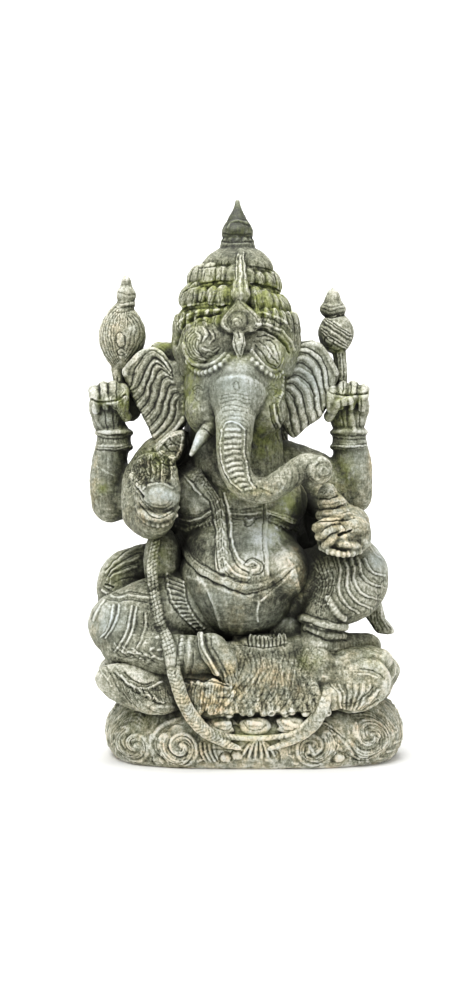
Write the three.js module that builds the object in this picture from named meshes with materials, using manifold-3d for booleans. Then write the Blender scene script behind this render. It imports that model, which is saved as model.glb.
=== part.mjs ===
// A seated four-armed Ganesha on a lotus seat and scroll base, carved from one block of grey-green stone.
// Millimetres, +Z up, front towards -Y, standing on z = 0 with the middle of its box over the origin.
import * as THREE from "three";
import { mergeVertices } from "three/addons/utils/BufferGeometryUtils.js";
import Module from "manifold-3d";

const wasm = await Module();
wasm.setup();

// Driving dimensions. Places are given as (across, up, depth): across and up are read on the plane
// depth = 0 as a viewer sees them from SIGHT, so a form that stands forward is drawn in towards it.
const SIGHT = { across: -23, up: 448, distance: 2800, seenUp: 475 };
const BODY_AXIS = -8;
const CROWN_AXIS = { across: -10, depth: -36 };
const CROWN_DEEP = 0.84;
const CROWN_LOBES = 16;
const BASE = { across: 20, depth: 20, deep: 0.72, square: 2.9 };
const SEAT = { across: 12, depth: 20, deep: 0.7, square: 2.7 };
const SEAT_BACK = { petals: 5, first: 0.14, sweep: 0.72, across: 232, deep: 170, up: 118 };
const SCROLL = { rowsPerTurn: 7, windIn: 0.78, rise: 5 };
const FINGERS = 4;
const KNEE_FOLDS = { left: 3, right: 4, behind: 3 };
const EAR_FOLDS = 4;
const HAIR_LOCKS = 5;
const EAR_THICK = 20;
const TRUNK_RADIUS = 30;
const FINGER_RADIUS = 9;
const BELOW_GROUND = { across: 800, deep: 100 };
const DOME = { share: [1, 0.78, 0], reach: [0, 0.6, 0.95] };
const THINNING = {
  faces: 9800,
  lengthWorth: 0.02,
  sliverArea: 0.5,
  leastTurn: 0.3,
  first: 0.05,
  last: 5,
  step: 1.25,
};
const STONE_COLOUR = 0x6f7264;
const STONE_ROUGHNESS = 0.82;

const FRONT = new THREE.Vector3(0, -1, 0);
const UP = new THREE.Vector3(0, 0, 1);

function nearness(depth) {
  return (SIGHT.distance + depth) / SIGHT.distance;
}

// The real place of a point that is seen at (across, up) and lies at the given depth.
function seen(across, up, depth) {
  const k = nearness(depth);
  return new THREE.Vector3(
    SIGHT.across + (across - SIGHT.across) * k,
    depth,
    SIGHT.up + (up - SIGHT.seenUp) * k,
  );
}

function signedVolume(positions, index) {
  const a = new THREE.Vector3();
  const b = new THREE.Vector3();
  const c = new THREE.Vector3();
  let sum = 0;
  for (let i = 0; i < index.length; i += 3) {
    a.fromArray(positions, index[i] * 3);
    b.fromArray(positions, index[i + 1] * 3);
    c.fromArray(positions, index[i + 2] * 3);
    sum += a.dot(b.cross(c)) / 6;
  }
  return sum;
}

// A closed geometry as a solid: doubled vertices merged, empty faces dropped, faces turned outwards.
function solid(geometry) {
  geometry.deleteAttribute("normal");
  geometry.deleteAttribute("uv");
  const merged = mergeVertices(geometry, 1e-3);
  const positions = merged.attributes.position.array;
  const from = merged.index.array;
  const kept = [];
  for (let i = 0; i < from.length; i += 3) {
    const [a, b, c] = [from[i], from[i + 1], from[i + 2]];
    if (a !== b && b !== c && c !== a) kept.push(a, b, c);
  }
  if (signedVolume(positions, kept) < 0) kept.reverse();
  const mesh = new wasm.Mesh({
    numProp: 3,
    vertProperties: new Float32Array(positions),
    triVerts: new Uint32Array(kept),
  });
  return new wasm.Manifold(mesh);
}

function joined(solids) {
  return solids.reduce((all, one) => all.add(one));
}

// An egg-shaped mass with its three half-sizes, optionally turned about the depth axis.
function mass(centre, [halfAcross, halfDeep, halfUp], { sides = 8, rows = 6, turn = 0 } = {}) {
  const geometry = new THREE.SphereGeometry(1, sides, rows);
  geometry.rotateX(Math.PI / 2);
  geometry.scale(halfAcross, halfDeep, halfUp);
  geometry.rotateY(turn);
  geometry.translate(centre.x, centre.y, centre.z);
  return solid(geometry);
}

function along(values, t) {
  const place = t * (values.length - 1);
  const i = Math.min(Math.floor(place), values.length - 2);
  return THREE.MathUtils.lerp(values[i], values[i + 1], place - i);
}

// A bar with domed ends along a smooth path. Its radius follows the path, and flat is its thickness
// towards "out" as a share of its width.
function bar(route, radii, { sides = 5, steps = 4, flat = 1, out = FRONT } = {}) {
  const curve = new THREE.CatmullRomCurve3(route, false, "centripetal");
  const rows = steps + 4;
  const geometry = new THREE.SphereGeometry(1, sides, rows);
  const position = geometry.attributes.position;
  const side = new THREE.Vector3();
  const face = new THREE.Vector3();
  const spot = new THREE.Vector3();
  for (let row = 0; row <= rows; row++) {
    const t = THREE.MathUtils.clamp((row - 2) / steps, 0, 1);
    const tangent = curve.getTangentAt(t);
    const radius = along(radii, t);
    const end = row < 2 ? row - 2 : Math.max(row - rows + 2, 0);
    const share = DOME.share[Math.abs(end)];
    const reach = Math.sign(end) * DOME.reach[Math.abs(end)] * radius * Math.min(1, flat * 1.5);
    side.crossVectors(tangent, out).normalize();
    face.crossVectors(side, tangent).normalize();
    for (let column = 0; column <= sides; column++) {
      const angle = ((column % sides) / sides) * Math.PI * 2;
      spot.copy(curve.getPointAt(t)).addScaledVector(tangent, reach);
      spot.addScaledVector(side, Math.cos(angle) * radius * share);
      spot.addScaledVector(face, Math.sin(angle) * radius * share * flat);
      position.setXYZ(row * (sides + 1) + column, spot.x, spot.y, spot.z);
    }
  }
  return solid(geometry);
}

// A turned form about an upright axis, from levels of [radius, height, scallop]. deep squashes it front
// to back, square fills out its plan towards a rounded rectangle, and lobes are cut by each level's scallop.
function turned(centre, levels, { sides = 24, deep = 1, square = 2, lobes = 0 } = {}) {
  const profile = levels.map(([r, z]) => new THREE.Vector2(r, z));
  const geometry = new THREE.LatheGeometry(profile, sides);
  const position = geometry.attributes.position;
  for (let i = 0; i < position.count; i++) {
    const [radius, , scallop = 0] = levels[i % levels.length];
    const angle = (Math.floor(i / levels.length) / sides) * Math.PI * 2;
    const [x, y] = [Math.sin(angle), -Math.cos(angle)];
    const corner = (Math.abs(x) ** square + Math.abs(y) ** square) ** (-1 / square);
    const reach = radius * corner * (1 - scallop * Math.abs(Math.sin((angle * lobes) / 2)));
    position.setXYZ(i, centre.x + x * reach, centre.y + y * reach * deep, position.getY(i));
  }
  return solid(geometry);
}

// A turned form whose radii and heights are read as seen at the depth of its axis.
function turnedSeen(across, depth, profile, options) {
  const k = nearness(depth);
  const real = profile.map(([r, up, scallop]) => [r * k, seen(across, up, depth).z, scallop]);
  return turned(seen(across, 0, depth), real, options);
}

// A plate between a front outline and its copy behind, both bent back towards the outer edge.
function plate(outline, thick, depthAt) {
  const shape = new THREE.Shape(outline.map(([x, z]) => new THREE.Vector2(x, z)));
  const geometry = new THREE.ExtrudeGeometry(shape, {
    depth: thick,
    steps: 1,
    bevelThickness: thick * 0.25,
    bevelSize: thick * 0.22,
    bevelSegments: 1,
    curveSegments: 4,
  });
  const position = geometry.attributes.position;
  for (let i = 0; i < position.count; i++) {
    const across = position.getX(i);
    const up = position.getY(i);
    const spot = seen(across, up, depthAt(across, up) - position.getZ(i));
    position.setXYZ(i, spot.x, spot.y, spot.z);
  }
  return solid(geometry);
}

function path(points) {
  return points.map(([across, up, depth]) => seen(across, up, depth));
}

// A raised ring that faces the front.
function ring(across, up, depth, radius, thick, sides = 8) {
  const centre = seen(across, up, depth);
  const geometry = new THREE.TorusGeometry(radius, thick, 4, sides);
  geometry.rotateX(Math.PI / 2);
  geometry.translate(centre.x, centre.y, centre.z);
  return solid(geometry);
}

// A flat spiral ridge that winds in from its outer radius; way is 1 or -1.
function spiral(across, up, depth, outer, { turns = 1.6, start = 0, way = 1, thick = 6 } = {}) {
  const count = Math.round(turns * SCROLL.rowsPerTurn);
  const points = [];
  for (let i = 0; i <= count; i++) {
    const t = i / count;
    const angle = start + way * t * turns * Math.PI * 2;
    const radius = outer * (1 - SCROLL.windIn * t);
    const [x, z] = [Math.cos(angle) * radius, Math.sin(angle) * radius];
    points.push([across + x, up + z, depth - SCROLL.rise * t]);
  }
  const bead = thick * 1.2;
  return bar(path(points), [thick, thick, bead], { sides: 4, steps: count, flat: 1.2 });
}

function base() {
  const profile = [
    [0, -20], [240, -20], [250, 8], [257, 25], [259, 50], [251, 75], [240, 92], [224, 108], [0, 130],
  ];
  const parts = [
    turned({ x: BASE.across, y: BASE.depth }, profile, { sides: 28, deep: BASE.deep, square: BASE.square }),
  ];
  const scrolls = [
    { across: -192, up: 44, depth: -130, outer: 32, way: 1, start: 1.2 },
    { across: -108, up: 40, depth: -160, outer: 36, way: 1, start: 0.9 },
    { across: 118, up: 40, depth: -160, outer: 36, way: -1, start: 2.2 },
    { across: 225, up: 60, depth: -118, outer: 40, way: -1, start: 2.0 },
  ];
  for (const { across, up, depth, outer, way, start } of scrolls) {
    parts.push(spiral(across, up, depth, outer, { way, start }));
  }
  for (const [across, up, depth] of [[-152, 18, -152], [172, 20, -152]]) {
    parts.push(mass(seen(across, up, depth), [15, 12, 13], { sides: 6, rows: 4 }));
  }
  for (const way of [-1, 1]) {
    const leaf = [[30 + way * 4, 60, -162], [30 + way * 16, 42, -168], [30 + way * 30, 22, -164]];
    parts.push(bar(path(leaf), [9, 9, 3], { sides: 4, steps: 2, flat: 0.8 }));
  }
  return parts;
}

// One lotus petal of the seat: a hanging tongue with a rolled tip.
function petal(across, up, depth, halfAcross, halfUp, turn = 0) {
  return mass(seen(across, up, depth), [halfAcross, 22, halfUp], { sides: 8, rows: 6, turn });
}

function seat() {
  const profile = [[0, 80], [212, 90], [236, 108], [254, 126], [266, 150], [260, 164], [240, 174], [0, 188]];
  const parts = [
    turned({ x: SEAT.across, y: SEAT.depth }, profile, { sides: 28, deep: SEAT.deep, square: SEAT.square }),
    petal(-166, 130, -152, 54, 36, 0.12),
    petal(-60, 128, -166, 42, 34),
    petal(-212, 168, -90, 36, 26, 0.5),
    petal(196, 146, -146, 52, 42, -0.35),
    petal(238, 170, -84, 34, 26, -0.5),
  ];
  for (const [across, up] of [[-38, 78], [22, 78], [84, 80]]) {
    parts.push(mass(seen(across, up, -160), [28, 16, 17], { sides: 6, rows: 4 }));
  }
  for (let i = 0; i < SEAT_BACK.petals; i++) {
    const angle = Math.PI * (SEAT_BACK.first + (SEAT_BACK.sweep * i) / (SEAT_BACK.petals - 1));
    const x = SEAT.across + Math.cos(angle) * SEAT_BACK.across;
    const y = SEAT.depth + Math.sin(angle) * SEAT_BACK.deep;
    parts.push(mass(new THREE.Vector3(x, y, SEAT_BACK.up), [56, 26, 36], { sides: 6, rows: 5 }));
  }
  // The cloth in the lap, the fringe before it and the pleated apron that hangs over the seat.
  parts.push(mass(seen(40, 224, -100), [66, 44, 26]));
  const pleats = 6;
  for (let i = 0; i < pleats; i++) {
    const t = i / (pleats - 1);
    const pleat = [
      [52 + 58 * t, 216 - 12 * t, -142],
      [26 + 88 * t, 160, -172],
      [-8 + 132 * t, 108 + 6 * t, -178],
    ];
    parts.push(bar(path(pleat), [10, 13, 17], { sides: 4, steps: 2, flat: 0.8 }));
  }
  const tassels = 5;
  for (let i = 0; i < tassels; i++) {
    const across = 12 + (62 * i) / (tassels - 1);
    parts.push(bar(path([[across, 242, -136], [across, 212, -142]]), [7, 7], { sides: 4, steps: 1 }));
  }
  return parts;
}

function legs() {
  const parts = [
    // The folded leg: thigh, knee, shin along the seat, and the foot under the belly.
    bar(path([[-50, 285, -40], [-140, 278, -70], [-214, 256, -88]]), [72, 66, 59], { sides: 10, steps: 3 }),
    bar(path([[-208, 222, -104], [-135, 204, -134], [-60, 200, -148]]), [42, 38, 32], { sides: 8, steps: 3 }),
    bar(path([[-56, 214, -152], [-34, 188, -160], [-24, 160, -162]]), [27, 26, 17], { sides: 7, steps: 2 }),
    // The raised leg: thigh out to the knee, shin down to the ankle, and the foot turned outwards.
    bar(path([[70, 300, -30], [130, 322, -50]]), [62, 70], { sides: 9, steps: 1 }),
    mass(seen(180, 340, -66), [76, 74, 74], { sides: 14, rows: 9 }),
    bar(path([[184, 314, -92], [152, 282, -106], [138, 248, -108]]), [56, 42, 36], { sides: 8, steps: 2 }),
    bar(path([[130, 222, -116], [180, 216, -88], [222, 218, -58]]), [30, 26, 23], { sides: 7, steps: 2 }),
    // Cloth that falls behind the two knees.
    bar(path([[-146, 376, 30], [-206, 338, 30], [-204, 290, 20]]), [30, 48, 52], { sides: 8, steps: 2 }),
    bar(path([[226, 310, 24], [231, 278, 20], [242, 258, 14]]), [14, 20, 24], { sides: 6, steps: 2 }),
    bar(path([[184, 332, -30], [164, 318, 60], [90, 300, 112]]), [64, 66, 66], { sides: 9, steps: 3 }),
    bar(path([[-204, 262, -60], [-184, 268, 56], [-100, 290, 112]]), [54, 56, 66], { sides: 9, steps: 3 }),
  ];
  // Folds of cloth drawn round the knees as raised ridges.
  for (let i = 0; i < KNEE_FOLDS.left; i++) {
    const across = -236 + i * 30;
    const front = -140 - i * 8;
    const fold = [
      [across - 12, 292, front + 36],
      [across - 4, 256, front - 2],
      [across + 6, 206, front + 16],
    ];
    parts.push(bar(path(fold), [5, 7, 5], { sides: 4, steps: 3 }));
  }
  for (let i = 0; i < KNEE_FOLDS.right; i++) {
    const fold = [
      [244 - i * 22, 382 - i * 10, -96 - i * 8],
      [228 - i * 20, 322 - i * 4, -128],
      [176 - i * 8, 284 + i * 6, -142],
    ];
    parts.push(bar(path(fold), [5, 7, 5], { sides: 4, steps: 3 }));
  }
  for (let i = 0; i < KNEE_FOLDS.behind; i++) {
    const fold = [
      [-172 - i * 8, 400 - i * 20, -6],
      [-228 - i * 4, 368 - i * 22, -10],
      [-240, 318 - i * 8, -14],
    ];
    parts.push(bar(path(fold), [5, 6, 5], { sides: 4, steps: 2 }));
  }
  // Anklets.
  parts.push(bar(path([[100, 270, -126], [140, 258, -150], [184, 252, -124]]), [8, 9, 8], { steps: 3 }));
  const anklets = [
    [[112, 252, -130], [146, 240, -152], [182, 236, -128]],
    [[-74, 238, -172], [-68, 208, -184], [-46, 172, -184]],
  ];
  parts.push(bar(path(anklets[0]), [7, 7, 7], { sides: 4, steps: 3 }));
  parts.push(bar(path(anklets[1]), [7, 7, 6], { sides: 4, steps: 3 }));
  return parts;
}

function torso() {
  const parts = [
    mass(seen(BODY_AXIS + 3, 332, -54), [108, 106, 104], { sides: 16, rows: 11 }),
    mass(seen(BODY_AXIS, 300, 40), [150, 124, 120], { sides: 10, rows: 6 }),
    mass(seen(BODY_AXIS - 4, 455, 14), [138, 104, 136], { sides: 14, rows: 8 }),
    mass(seen(-100, 400, 30), [60, 60, 60]),
    mass(seen(92, 410, 30), [62, 60, 66]),
    mass(seen(-80, 478, -66), [42, 32, 42]),
    mass(seen(74, 472, -66), [40, 32, 42]),
  ];
  // Belt across the belly, bands under the breasts, and the sash that hangs from the neck.
  const belt = [
    [-116, 410, -74], [-94, 372, -118], [-50, 336, -152],
    [0, 318, -164], [50, 332, -158], [98, 366, -120],
  ];
  parts.push(bar(path(belt), [9, 11, 12, 9, 5], { sides: 4, steps: 7, flat: 0.8 }));
  const sash = [[-84, 526, -88], [-56, 488, -104], [-38, 440, -120], [-34, 395, -142], [-30, 352, -162]];
  parts.push(bar(path(sash), [26, 20, 12, 12, 15], { sides: 4, steps: 5, flat: 0.55 }));
  for (const [side, inner, outer] of [[-1, 54, 114], [1, 42, 100]]) {
    for (const drop of [0, 16]) {
      const middle = (inner + outer) / 2;
      const band = [
        [side * outer, 444 - drop, -72],
        [side * middle, 438 - drop, -96],
        [side * inner, 452 - drop, -98],
      ];
      parts.push(bar(path(band), [7, 10, 7], { sides: 4, steps: 2 }));
    }
  }
  // The two long scarves that leave the lap and meet on the base.
  const left = [
    [-148, 416, -96], [-138, 330, -138], [-140, 250, -168], [-126, 180, -186],
    [-104, 118, -190], [-72, 66, -180], [0, 50, -174],
  ];
  const right = [[140, 158, -170], [140, 122, -184], [118, 76, -178], [66, 54, -174], [0, 48, -174]];
  parts.push(bar(path(left), [14, 13, 13, 12, 12, 12, 10], { sides: 5, steps: 11 }));
  parts.push(bar(path(right), [12, 12, 11, 10, 10], { sides: 5, steps: 6 }));
  return parts;
}

// Four fingers curled over a fist, side by side.
function fist(across, up, depth, halfAcross, lean) {
  const parts = [mass(seen(across, up, depth), [halfAcross, 28, 46], { sides: 10, rows: 6 })];
  for (let i = 0; i < FINGERS; i++) {
    const x = across - halfAcross * 0.72 + (halfAcross * 1.44 * i) / (FINGERS - 1);
    const finger = [[x, up + 36, depth - 4], [x, up + 26, depth - 30], [x + lean, up - 4, depth - 30]];
    parts.push(bar(path(finger), [FINGER_RADIUS, FINGER_RADIUS, 8], { sides: 5, steps: 2 }));
  }
  return parts;
}

// A bangle of two rings with a hollow between, about an upright wrist.
function bangle(across, up, depth, radius) {
  const levels = [
    [0, up - 20], [radius, up - 20], [radius + 6, up - 14], [radius, up - 7], [radius, up + 7],
    [radius + 6, up + 14], [radius, up + 20], [0, up + 20],
  ];
  return turnedSeen(across, depth, levels, { sides: 12 });
}

function arms() {
  const palmWrist = [[-172, 452, -70], [-160, 440, -100], [-150, 444, -130]];
  const palmBand = [[-180, 466, -152], [-162, 446, -162], [-140, 438, -164], [-120, 452, -152]];
  const sweetsWrist = [[198, 440, -50], [190, 428, -90], [172, 424, -124]];
  return [
    // The raised pair.
    bar(path([[-104, 528, 16], [-176, 494, 16], [-228, 468, 18]]), [56, 50, 32], { sides: 8, steps: 2 }),
    bar(path([[-234, 466, 14], [-237, 510, 8], [-226, 590, 0]]), [33, 32, 29], { sides: 9, steps: 3 }),
    bangle(-226, 581, 0, 29),
    ...fist(-236, 642, -2, 35, 4),
    mass(seen(-196, 652, 10), [24, 18, 40], { sides: 6, rows: 5 }),
    bar(path([[50, 542, 10], [120, 518, 14], [192, 480, 16]]), [46, 46, 32], { sides: 8, steps: 3 }),
    bar(path([[200, 482, 14], [196, 520, 8], [187, 590, 0]]), [30, 35, 29], { sides: 9, steps: 3 }),
    bangle(187, 582, 0, 29),
    ...fist(186, 642, -2, 39, -4),
    // The open palm.
    bar(path([[-142, 544, -8], [-168, 504, -32], [-172, 454, -70]]), [46, 44, 40], { sides: 8, steps: 3 }),
    mass(seen(-108, 588, -14), [32, 30, 30]),
    bar(path(palmWrist), [38, 34, 30], { sides: 8, steps: 2, out: UP }),
    bar(path(palmBand), [8, 9, 9, 8]),
    mass(seen(-144, 484, -144), [33, 20, 36], { sides: 8, rows: 6 }),
    ...openFingers(),
    // The hand that carries the sweets.
    bar(path([[112, 508, -18], [172, 492, -28], [194, 440, -50]]), [40, 40, 36], { sides: 8, steps: 3 }),
    bar(path(sweetsWrist), [36, 34, 32], { sides: 7, steps: 2, out: UP }),
    ...sweets(),
  ];
}

function openFingers() {
  const parts = [];
  for (let i = 0; i < FINGERS; i++) {
    const across = -178 + i * 19;
    const tip = 552 - Math.abs(i - 1.4) * 9;
    const finger = [[across, 500, -148], [across - 2, tip - 14, -144], [across + 2, tip, -158]];
    parts.push(bar(path(finger), [10, 9, 8], { steps: 2 }));
  }
  parts.push(bar(path([[-170, 486, -152], [-186, 500, -154], [-192, 518, -154]]), [9, 8, 6], { steps: 1 }));
  return parts;
}

function sweets() {
  const tiers = [
    [0, 378], [36, 384], [47, 408], [40, 438], [43, 448],
    [35, 460], [34, 474], [27, 484], [26, 500], [0, 512],
  ];
  return [
    turnedSeen(166, -136, tiers, { sides: 10, deep: 0.9 }),
    bar(path([[134, 408, -162], [166, 392, -182], [206, 402, -164]]), [10, 11, 10], { steps: 3 }),
    bar(path([[170, 414, -178], [188, 421, -180], [206, 424, -168]]), [8, 8, 7], { steps: 2 }),
  ];
}

function head() {
  const skull = [[-12, 740, 0], [-12, 640, 22], [-12, 560, 36]];
  const parts = [
    // The back of the head and the hair that falls to the shoulders.
    bar(path(skull), [94, 88, 96], { sides: 12, steps: 2, flat: 0.8 }),
    mass(seen(-14, 672, -56), [88, 84, 92], { sides: 14, rows: 9 }),
    mass(seen(-10, 690, -96), [66, 58, 52], { sides: 12, rows: 7 }),
    bar(path([[-14, 600, -30], [-10, 540, -20]]), [80, 84], { sides: 10, steps: 1 }),
    mass(seen(-56, 634, -84), [46, 40, 48], { sides: 10, rows: 7 }),
    mass(seen(32, 634, -84), [44, 40, 48], { sides: 10, rows: 7 }),
  ];
  for (let i = 0; i < HAIR_LOCKS; i++) {
    const spread = i - (HAIR_LOCKS - 1) / 2;
    const depth = 96 - Math.abs(spread) * 14;
    const lock = [
      [-12 + spread * 30, 720, depth - 22],
      [-12 + spread * 34, 640, depth],
      [-12 + spread * 38, 566, depth + 14],
    ];
    parts.push(bar(path(lock), [13, 15, 9], { steps: 3, flat: 0.8 }));
  }
  const trunk = [
    [-10, 660, -114], [-14, 606, -148], [-16, 560, -162], [-12, 524, -172], [8, 498, -180],
    [42, 492, -182], [76, 512, -180], [108, 532, -178], [138, 528, -178],
  ];
  const girth = [1.75, 1.15, 1.02, 0.92, 0.82, 0.74, 0.72, 0.72, 0.78].map((share) => share * TRUNK_RADIUS);
  parts.push(bar(path(trunk), girth, { sides: 10, steps: 13 }));
  // Cross ridges down the front of the trunk.
  const ridges = 6;
  for (let i = 0; i < ridges; i++) {
    const up = 604 - i * 17;
    const depth = -187 - i * 3.8;
    const ridge = [[-34 + i, up, depth + 8], [-12 + i, up + 3, depth - 2], [11 + i, up, depth + 8]];
    parts.push(bar(path(ridge), [4, 5, 4], { sides: 4, steps: 1 }));
  }
  parts.push(ring(142, 528, -186, 16, 6, 9));
  // The one tusk, with the fold of lip that it leaves.
  const tusk = [[-58, 600, -112], [-72, 584, -130], [-90, 555, -148]];
  const lip = [[-86, 596, -112], [-66, 606, -130], [-46, 598, -142]];
  parts.push(bar(path(tusk), [14, 11, 4], { sides: 6, steps: 3 }));
  parts.push(bar(path(lip), [7, 8, 7], { sides: 4, steps: 2 }));
  for (const [across, turn] of [[-76, -0.3], [52, 0.3]]) {
    parts.push(mass(seen(across, 672, -108), [13, 10, 9], { sides: 6, rows: 4, turn }));
  }
  return parts;
}

// An ear: a curved plate, the raised rim round its top, and folds nested inside the rim.
function ear(outline, rim, folds, depthAt) {
  const parts = [plate(outline, EAR_THICK, depthAt)];
  const lift = (points, rise) => points.map(([x, z]) => [x, z, depthAt(x) - EAR_THICK - rise]);
  parts.push(bar(path(lift(rim, 3)), [6, 8, 8, 6], { steps: 6 }));
  for (const fold of folds) {
    parts.push(bar(path(lift(fold, 3)), [4, 7, 7, 4], { sides: 4, steps: 5 }));
  }
  return parts;
}

// Folds between the rim and the inner edge, shared out evenly from one arch to the other.
function nested(outer, inner, count) {
  const folds = [];
  for (let i = 1; i <= count; i++) {
    const t = i / (count + 1);
    folds.push(outer.map(([x, z], j) => [
      THREE.MathUtils.lerp(x, inner[j][0], t),
      THREE.MathUtils.lerp(z, inner[j][1], t),
    ]));
  }
  return folds;
}

function ears() {
  const leftDepth = (x) => -36 + (-x - 100) * 0.3;
  const left = [
    [-100, 712], [-128, 722], [-142, 737], [-160, 745], [-180, 739], [-206, 712], [-213, 702],
    [-202, 676], [-192, 650], [-176, 622], [-164, 598], [-159, 580], [-148, 564], [-120, 588], [-96, 620],
  ];
  const leftRim = [[-122, 706], [-140, 730], [-160, 738], [-182, 732], [-204, 706]];
  const leftOuter = [[-122, 630], [-126, 704], [-154, 728], [-186, 712], [-200, 668]];
  const leftInner = [[-104, 610], [-106, 640], [-112, 650], [-120, 630], [-138, 576]];
  const rightDepth = (x) => -36 + (x - 70) * 0.32;
  const right = [
    [56, 712], [84, 737], [100, 749], [118, 754], [134, 753], [146, 742], [160, 720], [170, 698],
    [154, 650], [138, 620], [116, 606], [100, 590], [88, 584], [72, 600], [58, 630],
  ];
  const rightRim = [[82, 726], [98, 742], [118, 747], [136, 744], [152, 722], [163, 698]];
  const rightOuter = [[72, 690], [86, 724], [116, 736], [144, 710], [154, 662]];
  const rightInner = [[62, 630], [68, 650], [78, 652], [86, 630], [92, 596]];
  return [
    ...ear(left, leftRim, nested(leftOuter, leftInner, EAR_FOLDS), leftDepth),
    ...ear(right, rightRim, nested(rightOuter, rightInner, EAR_FOLDS), rightDepth),
    mass(seen(-130, 733, 6), [38, 24, 28]),
  ];
}

function crown() {
  const { across, depth } = CROWN_AXIS;
  // Hair line, three tiers of lobes that step in upwards, the dome and the ringed bud on top.
  const tiers = [
    [0, 700], [104, 700], [116, 745], [116, 768], [104, 786], [110, 796, 0.12], [103, 824, 0.06], [88, 840],
    [92, 848, 0.12], [84, 868, 0.08], [66, 882], [69, 888, 0.12], [58, 900, 0.08], [42, 911], [0, 916],
  ];
  const bud = [
    [0, 900], [27, 906], [31, 918], [24, 932], [28, 944],
    [26, 953], [18, 966], [11, 978], [6, 989], [0, 1000],
  ];
  const parts = [
    turnedSeen(across - 3, depth, tiers, { sides: 32, deep: CROWN_DEEP, lobes: CROWN_LOBES }),
    turnedSeen(across + 1, depth, bud, { sides: 10 }),
  ];
  // The long leaf down the front, the jewel below it and its drop.
  const leaf = [[-3, 908, -90], [-4, 872, -118], [-4, 838, -134]];
  parts.push(bar(path(leaf), [7, 12, 16], { steps: 2, flat: 0.8 }));
  parts.push(mass(seen(-5, 800, -132), [31, 18, 32], { sides: 8, rows: 6 }));
  parts.push(ring(-7, 790, -150, 15, 5));
  parts.push(bar(path([[-6, 766, -140], [-6, 740, -144]]), [12, 10], { steps: 1, flat: 0.7 }));
  // The two brow rosettes with their double rims.
  const leftRim = [[-110, 750, -88], [-94, 722, -114], [-66, 706, -134], [-34, 728, -140]];
  const rightRim = [[14, 736, -142], [38, 706, -138], [64, 706, -116], [78, 728, -92]];
  for (const rim of [leftRim, rightRim]) {
    parts.push(bar(path(rim), [7, 9, 9, 7], { steps: 4 }));
  }
  parts.push(ring(-66, 752, -124, 20, 8));
  parts.push(ring(42, 742, -126, 16, 8));
  return parts;
}

function attributes() {
  const shell = [
    [0, 690], [12, 692], [15, 704], [29, 722], [39, 742], [42, 764], [38, 786], [22, 810], [0, 824],
  ];
  const shellTip = [[0, 806], [15, 818], [17, 836], [11, 850], [8, 868], [0, 874]];
  const bud = [[0, 736], [18, 740], [29, 754], [32, 770], [27, 786], [16, 800], [0, 802]];
  const budTip = [[0, 792], [18, 800], [23, 812], [14, 826], [8, 840], [0, 852]];
  const parts = [
    turnedSeen(-213, 0, shell, { sides: 10, deep: 0.7 }),
    turnedSeen(-204, 0, shellTip, { sides: 8 }),
    turnedSeen(163, 0, bud, { sides: 10 }),
    turnedSeen(158, 0, budTip, { sides: 8 }),
    bar(path([[170, 756, 0], [175, 680, 0]]), [13, 12], { sides: 7, steps: 1 }),
    bar(path([[-240, 794, -18], [-240, 752, -24], [-216, 712, -16]]), [5, 6, 5], { sides: 4, steps: 3 }),
    bar(path([[-186, 800, -18], [-180, 760, -22], [-206, 724, -24]]), [5, 6, 5], { sides: 4, steps: 3 }),
  ];
  parts.push(mass(seen(-214, 757, -28), [8, 8, 14], { sides: 6, rows: 4 }));
  return parts;
}

function statue() {
  const figure = joined([
    ...base(), ...seat(), ...legs(), ...torso(), ...arms(), ...head(), ...ears(), ...crown(), ...attributes(),
  ]);
  const ground = new THREE.BoxGeometry(BELOW_GROUND.across, BELOW_GROUND.across, BELOW_GROUND.deep);
  ground.translate(0, 0, -BELOW_GROUND.deep / 2);
  return figure.subtract(solid(ground));
}

// The figure's corners and faces, with the slivers that the joins leave taken out: a corner slides along
// an edge onto its neighbour where the skin moves least, no face turns over and the skin stays closed.
function thinned(corners, triangles, wanted) {
  const faces = new Map(triangles.map((face, id) => [id, face]));
  const around = corners.map(() => new Set());
  for (const [id, face] of faces) face.forEach((v) => around[v].add(id));
  const side = new THREE.Vector3();
  const normalOf = ([a, b, c], normal) => {
    side.subVectors(corners[c], corners[a]);
    return normal.subVectors(corners[b], corners[a]).cross(side);
  };
  const neighbours = (v) => {
    const found = new Set([...around[v]].flatMap((id) => faces.get(id)));
    found.delete(v);
    return found;
  };
  const before = new THREE.Vector3();
  const after = new THREE.Vector3();
  const step = new THREE.Vector3();

  function costOf(v, onto, near) {
    const shared = [...neighbours(onto)].filter((w) => near.has(w)).length;
    if (shared !== 2) return Infinity;
    step.subVectors(corners[onto], corners[v]);
    let cost = step.length() * THINNING.lengthWorth;
    for (const id of around[v]) {
      const face = faces.get(id);
      if (face.includes(onto)) continue;
      normalOf(face, before).normalize();
      normalOf(face.map((w) => (w === v ? onto : w)), after);
      if (after.length() < THINNING.sliverArea * 2) return Infinity;
      if (after.normalize().dot(before) < THINNING.leastTurn) return Infinity;
      cost = Math.max(cost, Math.abs(before.dot(step)));
    }
    return cost;
  }

  function slide(v, onto) {
    for (const id of [...around[v]]) {
      const face = faces.get(id);
      if (face.includes(onto)) {
        face.forEach((w) => around[w].delete(id));
        faces.delete(id);
      } else {
        face[face.indexOf(v)] = onto;
        around[onto].add(id);
      }
    }
    around[v].clear();
  }

  for (let limit = THINNING.first; faces.size > wanted && limit < THINNING.last; limit *= THINNING.step) {
    for (let v = 0; v < corners.length && faces.size > wanted; v++) {
      const near = neighbours(v);
      let [best, onto] = [limit, -1];
      for (const w of near) {
        const cost = costOf(v, w, near);
        if (cost < best) [best, onto] = [cost, w];
      }
      if (onto >= 0) slide(v, onto);
    }
  }
  return [...faces.values()];
}

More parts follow.
